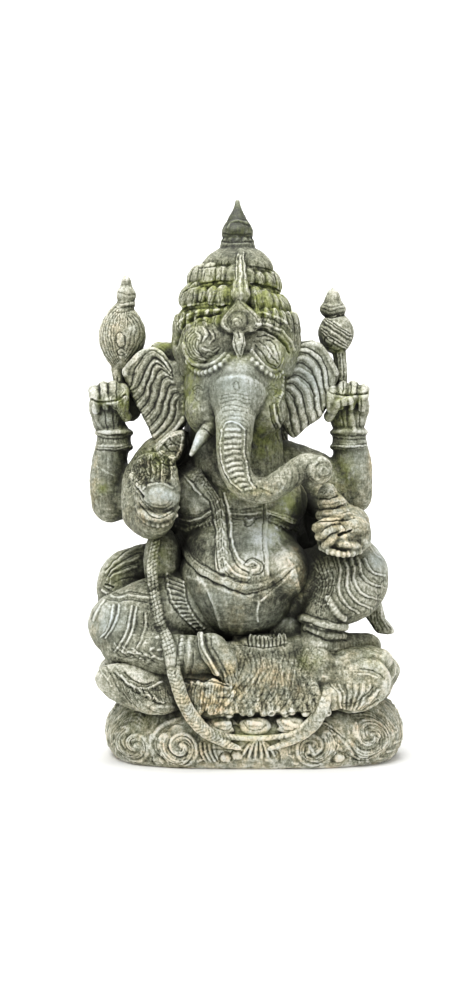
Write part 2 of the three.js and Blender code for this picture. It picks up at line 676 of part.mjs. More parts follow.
function geometryOf(manifold) {
  const { vertProperties, triVerts } = manifold.getMesh();
  const corners = [];
  for (let i = 0; i < vertProperties.length; i += 3) {
    corners.push(new THREE.Vector3().fromArray(vertProperties, i));
  }
  const triangles = [];
  for (let i = 0; i < triVerts.length; i += 3) triangles.push([...triVerts.slice(i, i + 3)]);
  const faces = thinned(corners, triangles, THINNING.faces);
  const geometry = new THREE.BufferGeometry().setFromPoints(corners);
  geometry.setIndex(faces.flat());
  const bare = mergeVertices(geometry.toNonIndexed(), 1e-4);
  bare.computeBoundingBox();
  const middle = bare.boundingBox.getCenter(new THREE.Vector3());
  bare.translate(-middle.x, -middle.y, -bare.boundingBox.min.z);
  bare.computeVertexNormals();
  return bare;
}

const stone = new THREE.MeshStandardMaterial({
  color: STONE_COLOUR,
  roughness: STONE_ROUGHNESS,
  metalness: 0,
});
const ganesha = new THREE.Mesh(geometryOf(statue()), stone);
ganesha.name = "ganesha_statue";

const group = new THREE.Group();
group.add(ganesha);

export default group;
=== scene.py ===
# Ganesha carved from one block of grey-green stone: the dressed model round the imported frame.
import math
import bmesh
import bpy
import numpy as np
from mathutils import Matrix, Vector
from mathutils.bvhtree import BVHTree


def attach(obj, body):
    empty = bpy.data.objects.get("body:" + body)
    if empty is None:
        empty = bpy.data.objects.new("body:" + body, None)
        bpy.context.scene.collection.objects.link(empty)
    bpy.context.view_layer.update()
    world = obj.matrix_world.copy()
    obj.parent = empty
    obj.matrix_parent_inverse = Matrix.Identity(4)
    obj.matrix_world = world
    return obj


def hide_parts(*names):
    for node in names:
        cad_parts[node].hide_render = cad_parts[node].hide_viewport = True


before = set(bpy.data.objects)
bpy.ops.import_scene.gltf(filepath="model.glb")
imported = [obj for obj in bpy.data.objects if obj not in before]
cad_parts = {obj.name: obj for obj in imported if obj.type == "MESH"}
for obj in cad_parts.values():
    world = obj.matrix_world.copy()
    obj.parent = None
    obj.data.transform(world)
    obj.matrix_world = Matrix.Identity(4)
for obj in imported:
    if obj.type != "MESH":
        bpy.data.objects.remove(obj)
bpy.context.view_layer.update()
mm = 0.001

# Places are (across, up, depth) in millimetres. Across and up are read on the plane depth = 0 as seen
# from the sight point, which is also where the camera stands.
sight = {"across": -23.0, "up": 448.0, "distance": 2800.0, "seenUp": 475.0}
figureShift = np.array([-4.08, -4.33, 0.0])
frontWay = np.array([0.0, -1.0, 0.0])
upWay = np.array([0.0, 0.0, 1.0])


def seen(points):
    points = np.asarray(points, float)
    near = (sight["distance"] + points[..., 2]) / sight["distance"]
    across = sight["across"] + (points[..., 0] - sight["across"]) * near
    up = sight["up"] + (points[..., 1] - sight["seenUp"]) * near
    return np.stack([across, points[..., 2], up], -1) + figureShift


def asSeen(places):
    real = places - figureShift
    near = (sight["distance"] + real[:, 1]) / sight["distance"]
    across = sight["across"] + (real[:, 0] - sight["across"]) / near
    up = sight["seenUp"] + (real[:, 2] - sight["up"]) / near
    return across, up, real[:, 1]


def unit(vectors):
    return vectors / np.maximum(np.linalg.norm(vectors, axis=-1, keepdims=True), 1e-9)


def smoothRoute(points, count, closed=False):
    p = np.asarray(points, float)
    if closed:
        ends = np.vstack([p[-1], p, p[0], p[1]])
    else:
        ends = np.vstack([2 * p[0] - p[1], p, 2 * p[-1] - p[-2]])
    t = np.linspace(0, 1, 14, endpoint=False)[:, None]
    parts = []
    for a, b, c, d in zip(ends, ends[1:], ends[2:], ends[3:]):
        parts.append(b + 0.5 * t * ((c - a) + t * ((2 * a - 5 * b + 4 * c - d) + t * (3 * b - a - 3 * c + d))))
    dense = np.vstack(parts + [ends[-2:-1]])
    length = np.concatenate([[0], np.cumsum(np.linalg.norm(np.diff(dense, axis=0), axis=1))])
    place = np.linspace(0, length[-1], count, endpoint=not closed)
    return np.stack([np.interp(place, length, dense[:, k]) for k in range(p.shape[1])], 1)


def spread(values, count):
    values = np.atleast_1d(np.asarray(values, float))
    return np.interp(np.linspace(0, 1, count), np.linspace(0, 1, len(values)), values)


fineness = {"barGap": 4.0, "massRows": 18, "massSides": 28, "plateSides": 90}


# Every form is a closed skin of rings, as (corners, faces).
def ringed(rings):
    rows, columns = rings.shape[:2]
    corners = rings.reshape(-1, 3)
    faces = [list(range(columns - 1, -1, -1)), [(rows - 1) * columns + c for c in range(columns)]]
    for r in range(rows - 1):
        for c in range(columns):
            n = (c + 1) % columns
            faces.append([r * columns + c, r * columns + n, (r + 1) * columns + n, (r + 1) * columns + c])
    return corners, faces


def bar(route, radii, flat=1.0, out=frontWay, sides=14):
    route = seen(route)
    rough = np.linalg.norm(np.diff(route, axis=0), axis=1).sum()
    count = max(5, int(rough / fineness["barGap"]))
    path = smoothRoute(route, count)
    radius = spread(radii, count)
    tangent = unit(np.gradient(path, axis=0))
    dome = np.radians([88, 65, 42, 20])
    lead = np.sin(dome) * min(1.0, flat * 1.4)
    first = path[0] - tangent[0] * radius[0] * lead[:, None]
    last = path[-1] + tangent[-1] * radius[-1] * lead[::-1, None]
    path = np.vstack([first, path, last])
    tangent = np.vstack([np.repeat(tangent[:1], 4, 0), tangent, np.repeat(tangent[-1:], 4, 0)])
    radius = np.concatenate([radius[0] * np.cos(dome), radius, radius[-1] * np.cos(dome[::-1])])
    side = unit(np.cross(tangent, out))
    face = np.cross(side, tangent)
    turn = np.linspace(0, 2 * math.pi, sides, endpoint=False)
    rings = path[:, None] + radius[:, None, None] * (
        np.cos(turn)[None, :, None] * side[:, None] + flat * np.sin(turn)[None, :, None] * face[:, None])
    return ringed(rings)


def mass(across, up, depth, halves, turn=0.0):
    rows, sides = fineness["massRows"], fineness["massSides"]
    polar = np.linspace(0.04, math.pi - 0.04, rows)
    around = np.linspace(0, 2 * math.pi, sides, endpoint=False)
    x = np.sin(polar)[:, None] * np.cos(around) * halves[0]
    y = np.sin(polar)[:, None] * np.sin(around) * halves[1]
    z = np.repeat(np.cos(polar)[:, None], sides, 1) * halves[2]
    x, z = x * math.cos(turn) + z * math.sin(turn), -x * math.sin(turn) + z * math.cos(turn)
    return ringed(np.stack([x, y, z], -1) + seen([across, up, depth]))


def turned(centre, levels, deep=1.0, square=2.0, sides=72, rows=None):
    levels = np.asarray(levels, float)
    if rows:
        levels = smoothRoute(levels, rows)
    turn = np.linspace(0, 2 * math.pi, sides, endpoint=False)
    x, y = np.sin(turn), -np.cos(turn)
    corner = (np.abs(x) ** square + np.abs(y) ** square) ** (-1 / square)
    reach = np.maximum(levels[:, :1], 0.3) * corner
    z = np.repeat(levels[:, 1:2], sides, 1)
    return ringed(np.stack([centre[0] + x * reach, centre[1] + y * reach * deep, z], -1))


def turnedSeen(across, depth, levels, **options):
    near = (sight["distance"] + depth) / sight["distance"]
    real = [[r * near, sight["up"] + (up - sight["seenUp"]) * near] for r, up in levels]
    return turned(seen([across, 0, depth]), real, **options)


# A plate in an outline, thick in the middle and round at the rim; depthAt gives the depth of its face.
def plate(outline, thick, depthAt):
    rim = smoothRoute(outline, fineness["plateSides"], closed=True)
    middle = rim.mean(0)
    rings = []
    for share, half in ((0.05, 0.5), (0.4, 0.5), (0.7, 0.5), (0.9, 0.46), (0.97, 0.3), (1.0, 0.0),
                        (0.97, -0.3), (0.9, -0.46), (0.7, -0.5), (0.4, -0.5), (0.05, -0.5)):
        flatRing = middle + (rim - middle) * share
        depth = depthAt(flatRing[:, 0]) - thick * half
        rings.append(seen(np.column_stack([flatRing, depth])))
    return ringed(np.array(rings))


# The face of a plate: its depth at one place across, and how much deeper it lies further along.
def faceDepth(depth, across=0, lean=0):
    return lambda x: depth + (x - across) * lean


def formOf(block):
    mesh = block.data
    corners = np.empty(len(mesh.vertices) * 3)
    mesh.vertices.foreach_get("co", corners)
    return corners.reshape(-1, 3) / mm, [list(p.vertices) for p in mesh.polygons]


def blockOf(name, forms):
    corners, faces, start = [], [], 0
    for points, polygons in forms:
        corners.append(np.asarray(points))
        faces.extend([[v + start for v in polygon] for polygon in polygons])
        start += len(points)
    mesh = bpy.data.meshes.new(name)
    mesh.from_pydata((np.vstack(corners) * mm).tolist(), [], faces)
    block = bpy.data.objects.new(name, mesh)
    bpy.context.scene.collection.objects.link(block)
    return block


def plainMesh(block):
    graph = bpy.context.evaluated_depsgraph_get()
    mesh = bpy.data.meshes.new_from_object(block.evaluated_get(graph))
    old = block.data
    block.modifiers.clear()
    block.data = mesh
    if old.users == 0:
        bpy.data.meshes.remove(old)
    mesh.name = block.name
    return block


grains = {"rough": (4.0, 8), "fine": (2.0, 2)}    # voxel size in mm, rounds of softening


# The forms run into one skin, as a chisel leaves them, and their corners are softened.
def carve(name, forms, grain):
    size, rounds = grains[grain]
    block = blockOf(name, forms)
    fuse = block.modifiers.new("fuse", "REMESH")
    fuse.mode = "VOXEL"
    fuse.voxel_size = size * mm
    smooth = block.modifiers.new("soften", "SMOOTH")
    smooth.factor = 0.5
    smooth.iterations = rounds
    return plainMesh(block)


def fused(forms):
    block = carve("rough", forms, "rough")
    form = formOf(block)
    bpy.data.objects.remove(block)
    return form


# Relief is drawn on a chart of the front view, one millimetre a cell, as strokes of stone raised or cut.
# The corner is the place (across, up) of a chart's first cell.
chartCorner = (-300, -20)
chartSize = (1040, 600)
strokeStep = 1.5


def stroke(chart, points, width, height, closed=False, corner=chartCorner):
    p = np.asarray(points, float)
    rough = np.linalg.norm(np.diff(p, axis=0), axis=1).sum()
    path = smoothRoute(p, max(4, int(rough / strokeStep)), closed)
    half = spread(width, len(path)) / 2
    rise = spread(height, len(path))
    raised = rise.mean() > 0
    reach = half.max() + 1
    c0, r0 = (max(int(low - reach - edge), 0) for low, edge in zip(path.min(0), corner))
    c1, r1 = (min(int(high + reach - edge) + 2, size)
              for high, edge, size in zip(path.max(0), corner, chart.shape[::-1]))
    if c1 <= c0 or r1 <= r0:
        return
    x = np.arange(c0, c1) + corner[0]
    z = np.arange(r0, r1) + corner[1]
    best = np.full((len(z), len(x)), 9.0)
    value = np.zeros_like(best)
    for i in range(len(path)):
        d = np.hypot(x[None, :] - path[i, 0], z[:, None] - path[i, 1]) / max(half[i], 0.1)
        closer = d < best
        best[closer] = d[closer]
        value[closer] = rise[i]
    t = np.clip(1 - best ** 2, 0, 1)
    chart[r0:r1, c0:c1] += value * (np.sqrt(t) if raised else t ** 2)


def readChart(chart, across, up, corner=chartCorner):
    c = np.clip(across - corner[0], 0, chart.shape[1] - 1.001)
    r = np.clip(up - corner[1], 0, chart.shape[0] - 1.001)
    c0, r0 = c.astype(int), r.astype(int)
    c, r = c - c0, r - r0
    return ((chart[r0, c0] * (1 - c) + chart[r0, c0 + 1] * c) * (1 - r)
            + (chart[r0 + 1, c0] * (1 - c) + chart[r0 + 1, c0 + 1] * c) * r)


def arc(across, up, radius, start, end, squash=1.0):
    angle = np.radians(np.linspace(start, end, 12))
    return np.column_stack([across + radius * np.cos(angle), up + radius * squash * np.sin(angle)])


def coil(across, up, radius, start, turns, way=1, inner=0.15):
    t = np.linspace(0, 1, max(10, int(turns * 16)))
    angle = math.radians(start) + way * t * turns * 2 * math.pi
    reach = radius * (1 - (1 - inner) * t)
    return np.column_stack([across + reach * np.cos(angle), up + reach * np.sin(angle)])


def numbers(text):
    return [float(word) for word in text.replace(",", " ").split()]


def routes(text):
    return [np.reshape(numbers(entry), (-1, 2)) for entry in text.split(";")]


# Lines shared out evenly from one route to another, or only within the two.
def fan(draw, chart, first, last, count, width, height, within=False):
    first, last = smoothRoute(first, 10), smoothRoute(last, 10)
    for i in range(count):
        t = (i + 1) / (count + 1) if within else i / (count - 1)
        draw(chart, first + (last - first) * t, width, height)


# Carving as a table with a stroke in each entry: widths / heights / points, or "arc" and its numbers.
# After them comes "closed", or "copies 5" / how far the points move each time, or "fan 5" or "within 5" / the
# other side of a fan. "chisel" and its numbers stand for a patch of short marks.
def engrave(chart, table, draw=stroke):
    for entry in table.split(";"):
        if "chisel" in entry:
            chisel(chart, *numbers(entry.replace("chisel", "")))
            continue
        width, height, route, *more = entry.split("/")
        width, height, first = numbers(width), numbers(height), np.array(numbers(route.replace("arc", "")))
        if len(more) < 2:
            points = arc(*first) if "arc" in route else first.reshape(-1, 2)
            draw(chart, points, width, height, closed=bool(more))
            continue
        how, count = more[0].split()
        if how == "copies":
            step = np.resize(numbers(more[1]), first.shape)
            for i in range(int(count)):
                moved = first + i * step
                draw(chart, arc(*moved) if "arc" in route else moved.reshape(-1, 2), width, height)
        else:
            fan(draw, chart, first.reshape(-1, 2), routes(more[1])[0], int(count), width, height, how == "within")


# Marks that follow each line: width / height / how far beside it.
def follow(chart, lines, marks):
    for line in lines:
        for mark in marks.split(";"):
            width, height, beside = (numbers(part) for part in mark.split("/"))
            stroke(chart, line + np.array(beside), width, height)


# Camera, floor and studio light.
view = {"place": (-0.0271, -2.8043, 0.448), "lens": 57.27, "sensor": 36.0}
studio = {"floor": (0.96, 0.96, 0.955), "sky": 0.46, "lamps": [
    ("key", (-0.9, -1.7, 2.7), (0, 0, 0.5), 1.5, 50.0), ("fill", (1.9, -2.4, 1.2), (0, 0, 0.45), 1.9, 7.0),
    ("top", (0.2, -1.1, 3.1), (0, 0, 0.5), 1.6, 30.0), ("paper", (0, 0.9, 2.9), (0, 2.6, 1.1), 2.4, 70.0)]}
sweep = {"front": -6.0, "bendFrom": 1.2, "bend": 1.3, "top": 5.0, "halfWide": 5.0}    # paper floor and backdrop


def makeStudio():
    camera = bpy.data.objects.new("camera", bpy.data.cameras.new("camera"))
    camera.data.sensor_width = view["sensor"]
    camera.data.lens = view["lens"]
    camera.location = view["place"]
    camera.rotation_euler = (math.pi / 2, 0, 0)
    bpy.context.scene.collection.objects.link(camera)
    bpy.context.scene.camera = camera
    start, bend, wide = sweep["bendFrom"], sweep["bend"], sweep["halfWide"]
    route = [(sweep["front"], 0.0), (start, 0.0)]
    route += [(start + bend * math.sin(a), bend - bend * math.cos(a)) for a in np.radians(np.linspace(8, 90, 14))]
    route.append((start + bend, sweep["top"]))
    corners = [(x, y, z) for y, z in route for x in (-wide, wide)]
    faces = [(2 * i, 2 * i + 1, 2 * i + 3, 2 * i + 2) for i in range(len(route) - 1)]
    mesh = bpy.data.meshes.new("paperSweep")
    mesh.from_pydata(corners, [], faces)
    floor = bpy.data.objects.new("paperSweep", mesh)
    bpy.context.scene.collection.objects.link(floor)
    paper = bpy.data.materials.new("pale paper")
    paper.use_nodes = True
    shader = paper.node_tree.nodes["Principled BSDF"]
    shader.inputs["Base Color"].default_value = (*studio["floor"], 1)
    shader.inputs["Roughness"].default_value = 0.95
    shader.inputs["Specular IOR Level"].default_value = 0.1
    # Seen from behind, the paper lets the view through.
    node, link = paper.node_tree.nodes.new, paper.node_tree.links.new
    mix = node("ShaderNodeMixShader")
    link(node("ShaderNodeNewGeometry").outputs["Backfacing"], mix.inputs[0])
    link(shader.outputs[0], mix.inputs[1])
    link(node("ShaderNodeBsdfTransparent").outputs[0], mix.inputs[2])
    link(mix.outputs[0], paper.node_tree.nodes["Material Output"].inputs["Surface"])
    mesh.materials.append(paper)
    for name, place, target, size, power in studio["lamps"]:
        lamp = bpy.data.objects.new(name, bpy.data.lights.new(name, "AREA"))
        lamp.data.energy = power
        lamp.data.size = size
        lamp.location = place
        aim = np.array(target) - np.array(place)
        lamp.rotation_euler = (math.atan2(math.hypot(aim[0], aim[1]), -aim[2]), 0,
                               math.atan2(aim[1], aim[0]) - math.pi / 2)
        bpy.context.scene.collection.objects.link(lamp)
    world = bpy.data.worlds.new("soft room")
    world.use_nodes = True
    world.node_tree.nodes["Background"].inputs["Color"].default_value = (1, 1, 1, 1)
    world.node_tree.nodes["Background"].inputs["Strength"].default_value = studio["sky"]
    bpy.context.scene.world = world
    bpy.context.scene.view_settings.view_transform = "Standard"


# One tree of nodes sets eggs of stone along a route: beads, lobes, ridges, tassels and curls.
def makeRowTree():
    tree = bpy.data.node_groups.new("carved row", "GeometryNodeTree")
    face = tree.interface
    face.new_socket("Geometry", in_out="OUTPUT", socket_type="NodeSocketGeometry")
    face.new_socket("Route", in_out="INPUT", socket_type="NodeSocketGeometry")
    for name, kind, value in (("Count", "Int", 8), ("Half sizes", "Vector", (0.004, 0.004, 0.004)),
                              ("Unevenness", "Float", 0.08), ("Seed", "Int", 3), ("Lean", "Float", 0.0),
                              ("Stone", "Material", None)):
        socket = face.new_socket(name, in_out="INPUT", socket_type="NodeSocket" + kind)
        if value is not None:
            socket.default_value = value
    node, link = tree.nodes.new, tree.links.new
    given, result = node("NodeGroupInput"), node("NodeGroupOutput")
    curve, points = node("GeometryNodeMeshToCurve"), node("GeometryNodeCurveToPoints")
    points.mode = "COUNT"
    outward = node("GeometryNodeInputNamedAttribute")
    outward.data_type = "FLOAT_VECTOR"
    outward.inputs["Name"].default_value = "outward"
    alongRoute, facing = node("FunctionNodeAlignRotationToVector"), node("FunctionNodeAlignRotationToVector")
    alongRoute.axis = "Z"
    facing.axis, facing.pivot_axis = "Y", "Z"
    egg = node("GeometryNodeMeshUVSphere")
    egg.inputs["Segments"].default_value = 12
    egg.inputs["Rings"].default_value = 8
    egg.inputs["Radius"].default_value = 1.0
    uneven, least, most = node("FunctionNodeRandomValue"), node("ShaderNodeMath"), node("ShaderNodeMath")
    least.operation, most.operation = "SUBTRACT", "ADD"
    least.inputs[0].default_value = most.inputs[0].default_value = 1.0
    scale = node("ShaderNodeVectorMath")
    scale.operation = "SCALE"
    place = node("GeometryNodeInstanceOnPoints")
    tilt, turn = node("FunctionNodeAxisAngleToRotation"), node("FunctionNodeRotateRotation")
    tilt.inputs["Axis"].default_value = (0, 1, 0)
    turn.rotation_space = "LOCAL"
    real, finish = node("GeometryNodeRealizeInstances"), node("GeometryNodeSetMaterial")
    link(given.outputs["Route"], curve.inputs["Mesh"])
    link(curve.outputs[0], points.inputs["Curve"])
    link(given.outputs["Count"], points.inputs["Count"])
    link(points.outputs["Tangent"], alongRoute.inputs["Vector"])
    link(alongRoute.outputs[0], facing.inputs["Rotation"])
    link(outward.outputs["Attribute"], facing.inputs["Vector"])
    link(given.outputs["Unevenness"], least.inputs[1])
    link(given.outputs["Unevenness"], most.inputs[1])
    link(least.outputs[0], uneven.inputs[2])
    link(most.outputs[0], uneven.inputs[3])
    link(given.outputs["Seed"], uneven.inputs["Seed"])
    link(given.outputs["Half sizes"], scale.inputs[0])
    link(uneven.outputs[1], scale.inputs["Scale"])
    link(given.outputs["Lean"], tilt.inputs["Angle"])
    link(facing.outputs[0], turn.inputs[0])
    link(tilt.outputs[0], turn.inputs[1])
    link(points.outputs["Points"], place.inputs["Points"])
    link(egg.outputs["Mesh"], place.inputs["Instance"])
    link(turn.outputs[0], place.inputs["Rotation"])
    link(scale.outputs[0], place.inputs["Scale"])
    link(place.outputs[0], real.inputs[0])
    link(real.outputs[0], finish.inputs["Geometry"])
    link(given.outputs["Stone"], finish.inputs["Material"])
    link(finish.outputs[0], result.inputs[0])
    return tree


rowTree = makeRowTree()
stone = bpy.data.materials.new("weathered green-grey stone")


# Half sizes run across the row, out of the stone and along the row.
def row(route, count, halves, outward=frontWay, closed=False, lean=0.0, uneven=0.08, seed=3, real=False):
    path = smoothRoute(route if real else seen(route), max(count * 3, 12), closed)
    mesh = bpy.data.meshes.new("route")
    edges = [(i, i + 1) for i in range(len(path) - 1)] + ([(len(path) - 1, 0)] if closed else [])
    mesh.from_pydata((path * mm).tolist(), edges, [])
    way = np.broadcast_to(outward(path) if callable(outward) else outward, path.shape)
    mesh.attributes.new("outward", "FLOAT_VECTOR", "POINT").data.foreach_set("vector", way.ravel())
    block = bpy.data.objects.new("row", mesh)
    bpy.context.scene.collection.objects.link(block)
    modifier = block.modifiers.new("row", "NODES")
    modifier.node_group = rowTree
    wanted = {"Count": count + (1 if closed else 0), "Half sizes": [h * mm for h in halves],
              "Unevenness": uneven, "Seed": seed, "Lean": lean, "Stone": stone}
    for item in rowTree.interface.items_tree:
        if item.in_out == "INPUT" and item.name in wanted:
            modifier[item.identifier] = wanted[item.name]
    plainMesh(block)
    form = formOf(block)
    bpy.data.objects.remove(block)
    return form


eye = seen([sight["across"], sight["seenUp"], -sight["distance"]])


def skinOf(form):
    return BVHTree.FromPolygons(form[0].tolist(), form[1])


# Places on the skin under a route that is drawn in the front view.
def laid(skin, points, lift):
    path = smoothRoute(points, max(len(points) * 3, 6))
    depths = []
    for across, up in path:
        way = seen([across, up, 0.0]) - eye
        hit = skin.ray_cast(Vector(eye), Vector(way))[0]
        depths.append(np.nan if hit is None else hit[1] - figureShift[1])
    depths = np.array(depths)
    known = np.flatnonzero(~np.isnan(depths))    # beside the skin, the depth of the nearest hit is taken
    return np.column_stack([path, np.interp(np.arange(len(path)), known, depths[known]) - lift])


crownSizes = {"deep": 0.84, "depth": -36, "lobes": (26, 17, 13)}


def crownBig():
    tiers = [(-11, "0,690 100,690 112,735 115,755 112,772 107,786 102,800 0,806"),
             (-15.5, "0,780 101,782 101,796 91,812 83,828 76,842 0,850"),
             (-15, "0,836 72,838 73,852 66,866 58,878 50,886 0,892"),
             (-9.5, "0,872 63,876 66,884 61,894 53,904 43,912 30,918 0,922")]
    turnedTiers = [turnedSeen(across, crownSizes["depth"], routes(levels)[0], deep=crownSizes["deep"])
                   for across, levels in tiers]
    return turnedTiers + [mass(-68, 748, -104, (38, 24, 38)), mass(43, 733, -104, (29, 24, 30))]


def ringRoute(across, up, depth, radius, deep, slope=0.0):
    turn = np.linspace(0, 2 * math.pi, 48, endpoint=False)
    centre = seen([across, up, depth])
    near = (sight["distance"] + depth) / sight["distance"]
    x = np.sin(turn) * radius * near
    return np.column_stack([centre[0] + x, centre[1] - np.cos(turn) * radius * near * deep, centre[2] + x * slope])


def outFrom(across, depth, rise=0.0):
    centre = seen([across, 0, depth])

    def way(path):
        out = unit((path - centre) * [1, 1, 0])
        return unit(out + upWay * rise)
    return way


def crownTrims(skin):
    depth, deep = crownSizes["depth"], crownSizes["deep"]
    third, second, first = crownSizes["lobes"]
    bud = "0,900 27,906 31,917 30,925 24,932 27,938 28.5,944 26,953 18,966 11.5,978 6.5,990 3.5,1004"
    jewel = "-8,838 -15,822 -26,808 -36,796 -39,783 -30,772 -18,768 -6,762 7,768 22,772 33,782 31,795 20,808 3,823"
    forms = [
        *(row(ringRoute(across, up, depth, radius, deep, slope), count, halves, outFrom(middle, depth, rise), True,
              uneven=uneven, seed=seed, real=True)
          for across, up, radius, slope, count, halves, middle, rise, uneven, seed in (
              (-15.5, 824, 89, -0.09, third, (20, 10, 12), -15, 0.35, 0.3, 12),
              (-15, 861, 70, -0.07, second, (20, 12, 15), -15, 0.35, 0.28, 7),
              (-9.5, 886, 56, -0.04, first, (11, 6, 10), -9, 0.5, 0.3, 5))),
        row(ringRoute(-11, 774, depth, 104, deep), 34, (30, 10, 9), outFrom(-11, depth), True, real=True),
        turnedSeen(-9, depth, routes(bud)[0], rows=60, sides=48),
        row(ringRoute(-9, 929, depth, 25, 1.0), 12, (5, 5, 6), outFrom(-9, depth), True, real=True),
        bar([[-3, 906, -58], [-4, 870, -84], [-4, 838, -102]], [6, 8, 12]),
        bar([[-3, 912, -72], [-4, 884, -98], [-4, 858, -114], [-4, 838, -129]], [7, 9, 12, 17], flat=0.8),
        plate(routes(jewel)[0], 28, faceDepth(-128)),
        mass(-8, 789, -138, (16, 10, 15)),
        bar([[-6, 770, -138], [-6, 748, -144], [-6, 728, -142]], [9, 12, 5], flat=0.8),
    ]
    return forms


headSizes = {"earThick": 30, "trunk": 30}


def headBig():
    return [
        bar([[-12, 740, 0], [-12, 640, 22], [-12, 560, 36]], [94, 88, 96], flat=0.8, sides=28),
        mass(-14, 672, -56, (88, 84, 92)),
        mass(-10, 690, -96, (66, 58, 52)),
        bar([[-14, 600, -30], [-10, 540, -20]], [80, 84], sides=24),
        mass(-56, 634, -84, (46, 40, 48)),
        mass(32, 634, -84, (44, 40, 48)),
        bar([[-84, 708, -10], [-124, 730, -6], [-148, 738, -16]], [26, 26, 16]),
        bar([[60, 710, -10], [98, 732, -6], [120, 742, -14]], [26, 24, 16]),
    ]


leftEar, rightEar = routes("""
    -100,712 -128,722 -142,737 -160,745 -180,739 -196,724 -208,710 -213,702 -204,680 -192,650 -176,622 -164,598
    -157,578 -149,564 -128,580 -96,620; 56,712 84,737 100,749 118,754 134,753 146,742 160,720 170,698 164,674
    154,650 138,620 116,606 100,590 88,584 72,600 58,630""")


def headTrims(skin):
    brow = skinOf(fused(crownBig() + headBig()))
    trunk = [[-10, 660, -114], [-14, 606, -148], [-16, 560, -162], [-12, 524, -172], [8, 498, -180],
             [42, 492, -182], [76, 512, -180], [108, 532, -178], [134, 528, -178]]
    girth = np.array([1.75, 1.15, 1.02, 0.92, 0.82, 0.74, 0.72, 0.72, 0.78]) * headSizes["trunk"]
    forms = [
        plate(leftEar, headSizes["earThick"], faceDepth(-46, -100, -0.3)),
        plate(rightEar, headSizes["earThick"], faceDepth(-46, 70, 0.32)),
        bar(trunk, girth, sides=28),
        bar([[-58, 600, -112], [-72, 584, -130], [-90, 555, -148]], [14, 11, 4], sides=18),
        row(laid(brow, [(-95, 719), (-88, 707), (-76, 699), (-60, 701), (-44, 709), (-33, 718), (-25, 727)], 2), 12,
            (5, 5.5, 4.6)),
        row(laid(brow, [(16, 722), (26, 713), (38, 702), (50, 694), (61, 693), (68, 700)], 2), 9, (5, 5.5, 4.4)),
        bar(laid(brow, [(-104, 750), (-101, 734), (-88, 717), (-66, 711), (-46, 718), (-31, 733)], 0),
            [3.5, 4.5, 3.5]),
        bar(laid(brow, [(16, 738), (26, 724), (38, 710), (52, 702), (64, 708), (71, 724)], 0), [3.5, 4.5, 3.5]),
        row(laid(skin, [(-103, 738), (-104, 715), (-103, 690), (-103, 665), (-104, 640)], 2), 20, (4, 4, 3)),
        row(laid(skin, [(76, 722), (72, 705), (70, 685), (68, 662), (62, 640)], 2), 18, (4, 4, 3)),
    ]
    locks = 7
    for i in range(locks):
        spreadOut = i - (locks - 1) / 2
        depth = 96 - abs(spreadOut) * 10
        forms.append(bar([[-12 + spreadOut * 22, 720, depth - 22], [-12 + spreadOut * 25, 640, depth],
                          [-12 + spreadOut * 28, 566, depth + 14]], [13, 15, 9], flat=0.8))
    return forms


def torsoBig():
    return [
        mass(-5, 332, -54, (108, 106, 104)),
        mass(-3, 388, -50, (100, 90, 62)),
        mass(76, 352, -72, (41, 92, 52)),
        mass(122, 462, 14, (34, 40, 60)),
        mass(-8, 300, 40, (150, 124, 120)),
        mass(-12, 455, 14, (138, 104, 136)),
        mass(-100, 400, 30, (60, 60, 60)),
        mass(92, 410, 30, (62, 60, 66)),
        mass(-80, 478, -66, (42, 32, 42)),
        mass(74, 472, -66, (40, 32, 42)),
    ]


def torsoTrims(skin):
    forms = [
        bar(laid(skin, routes("-116,414 -100,386 -80,361 -58,343 -20,326 0,322 40,328 95,362")[0], 1),
            [6, 8, 8, 7, 5, 3, 2], flat=0.45),
        bar(laid(skin, [(-100, 530), (-84, 508), (-62, 482), (-44, 452), (-37, 420), (-36, 385), (-33, 352)], 0),
            [22, 22, 18, 13, 11, 12, 14], flat=0.34),
        row(laid(skin, [(-116, 430), (-100, 424), (-84, 428), (-68, 436), (-54, 442)], 2), 12, (4.5, 4.5, 3.6)),
    ]
    bands = routes("""
        -112,446 -84,440 -54,454; -110,438 -84,432 -54,446; 46,454 70,446 98,436; 50,440 74,432 98,424""")
    return forms + [bar(laid(skin, band, 1), [4, 5, 4]) for band in bands]


def fist(across, up, depth, halfAcross, lean, thumb):
    forms = [mass(across, up - 3, depth, (halfAcross, 27, 37)),
             mass(across, up - 22, depth, (halfAcross * 0.86, 27, 34))]
    for i, lift in enumerate((-5, 1, 2, -3)):
        x = across - halfAcross * 0.74 + halfAcross * 1.48 * i / 3
        forms.append(bar([[x, up + 28 + lift, depth + 4], [x, up + 31 + lift, depth - 20],
                          [x + lean * 0.5, up + 14, depth - 36], [x + lean, up - 3 + lift, depth - 31]],
                         [9, 10.5, 9.5, 7]))
    side = thumb * halfAcross
    forms.append(bar([[across + side * 0.9, up - 20, depth - 20], [across + side * 0.5, up + 2, depth - 38],
                      [across, up + 8, depth - 42]], [10, 9, 8]))
    return forms


def bangle(across, up, depth, radius):
    levels = [(radius + wider, up + higher) for wider, higher in (
        (0, -19), (4, -16), (5, -12), (1, -8), (0, 0), (1, 7), (5, 10), (5, 14), (0, 18))]
    return turnedSeen(across, depth, [(0, up - 19), *levels, (0, up + 19)], sides=48)


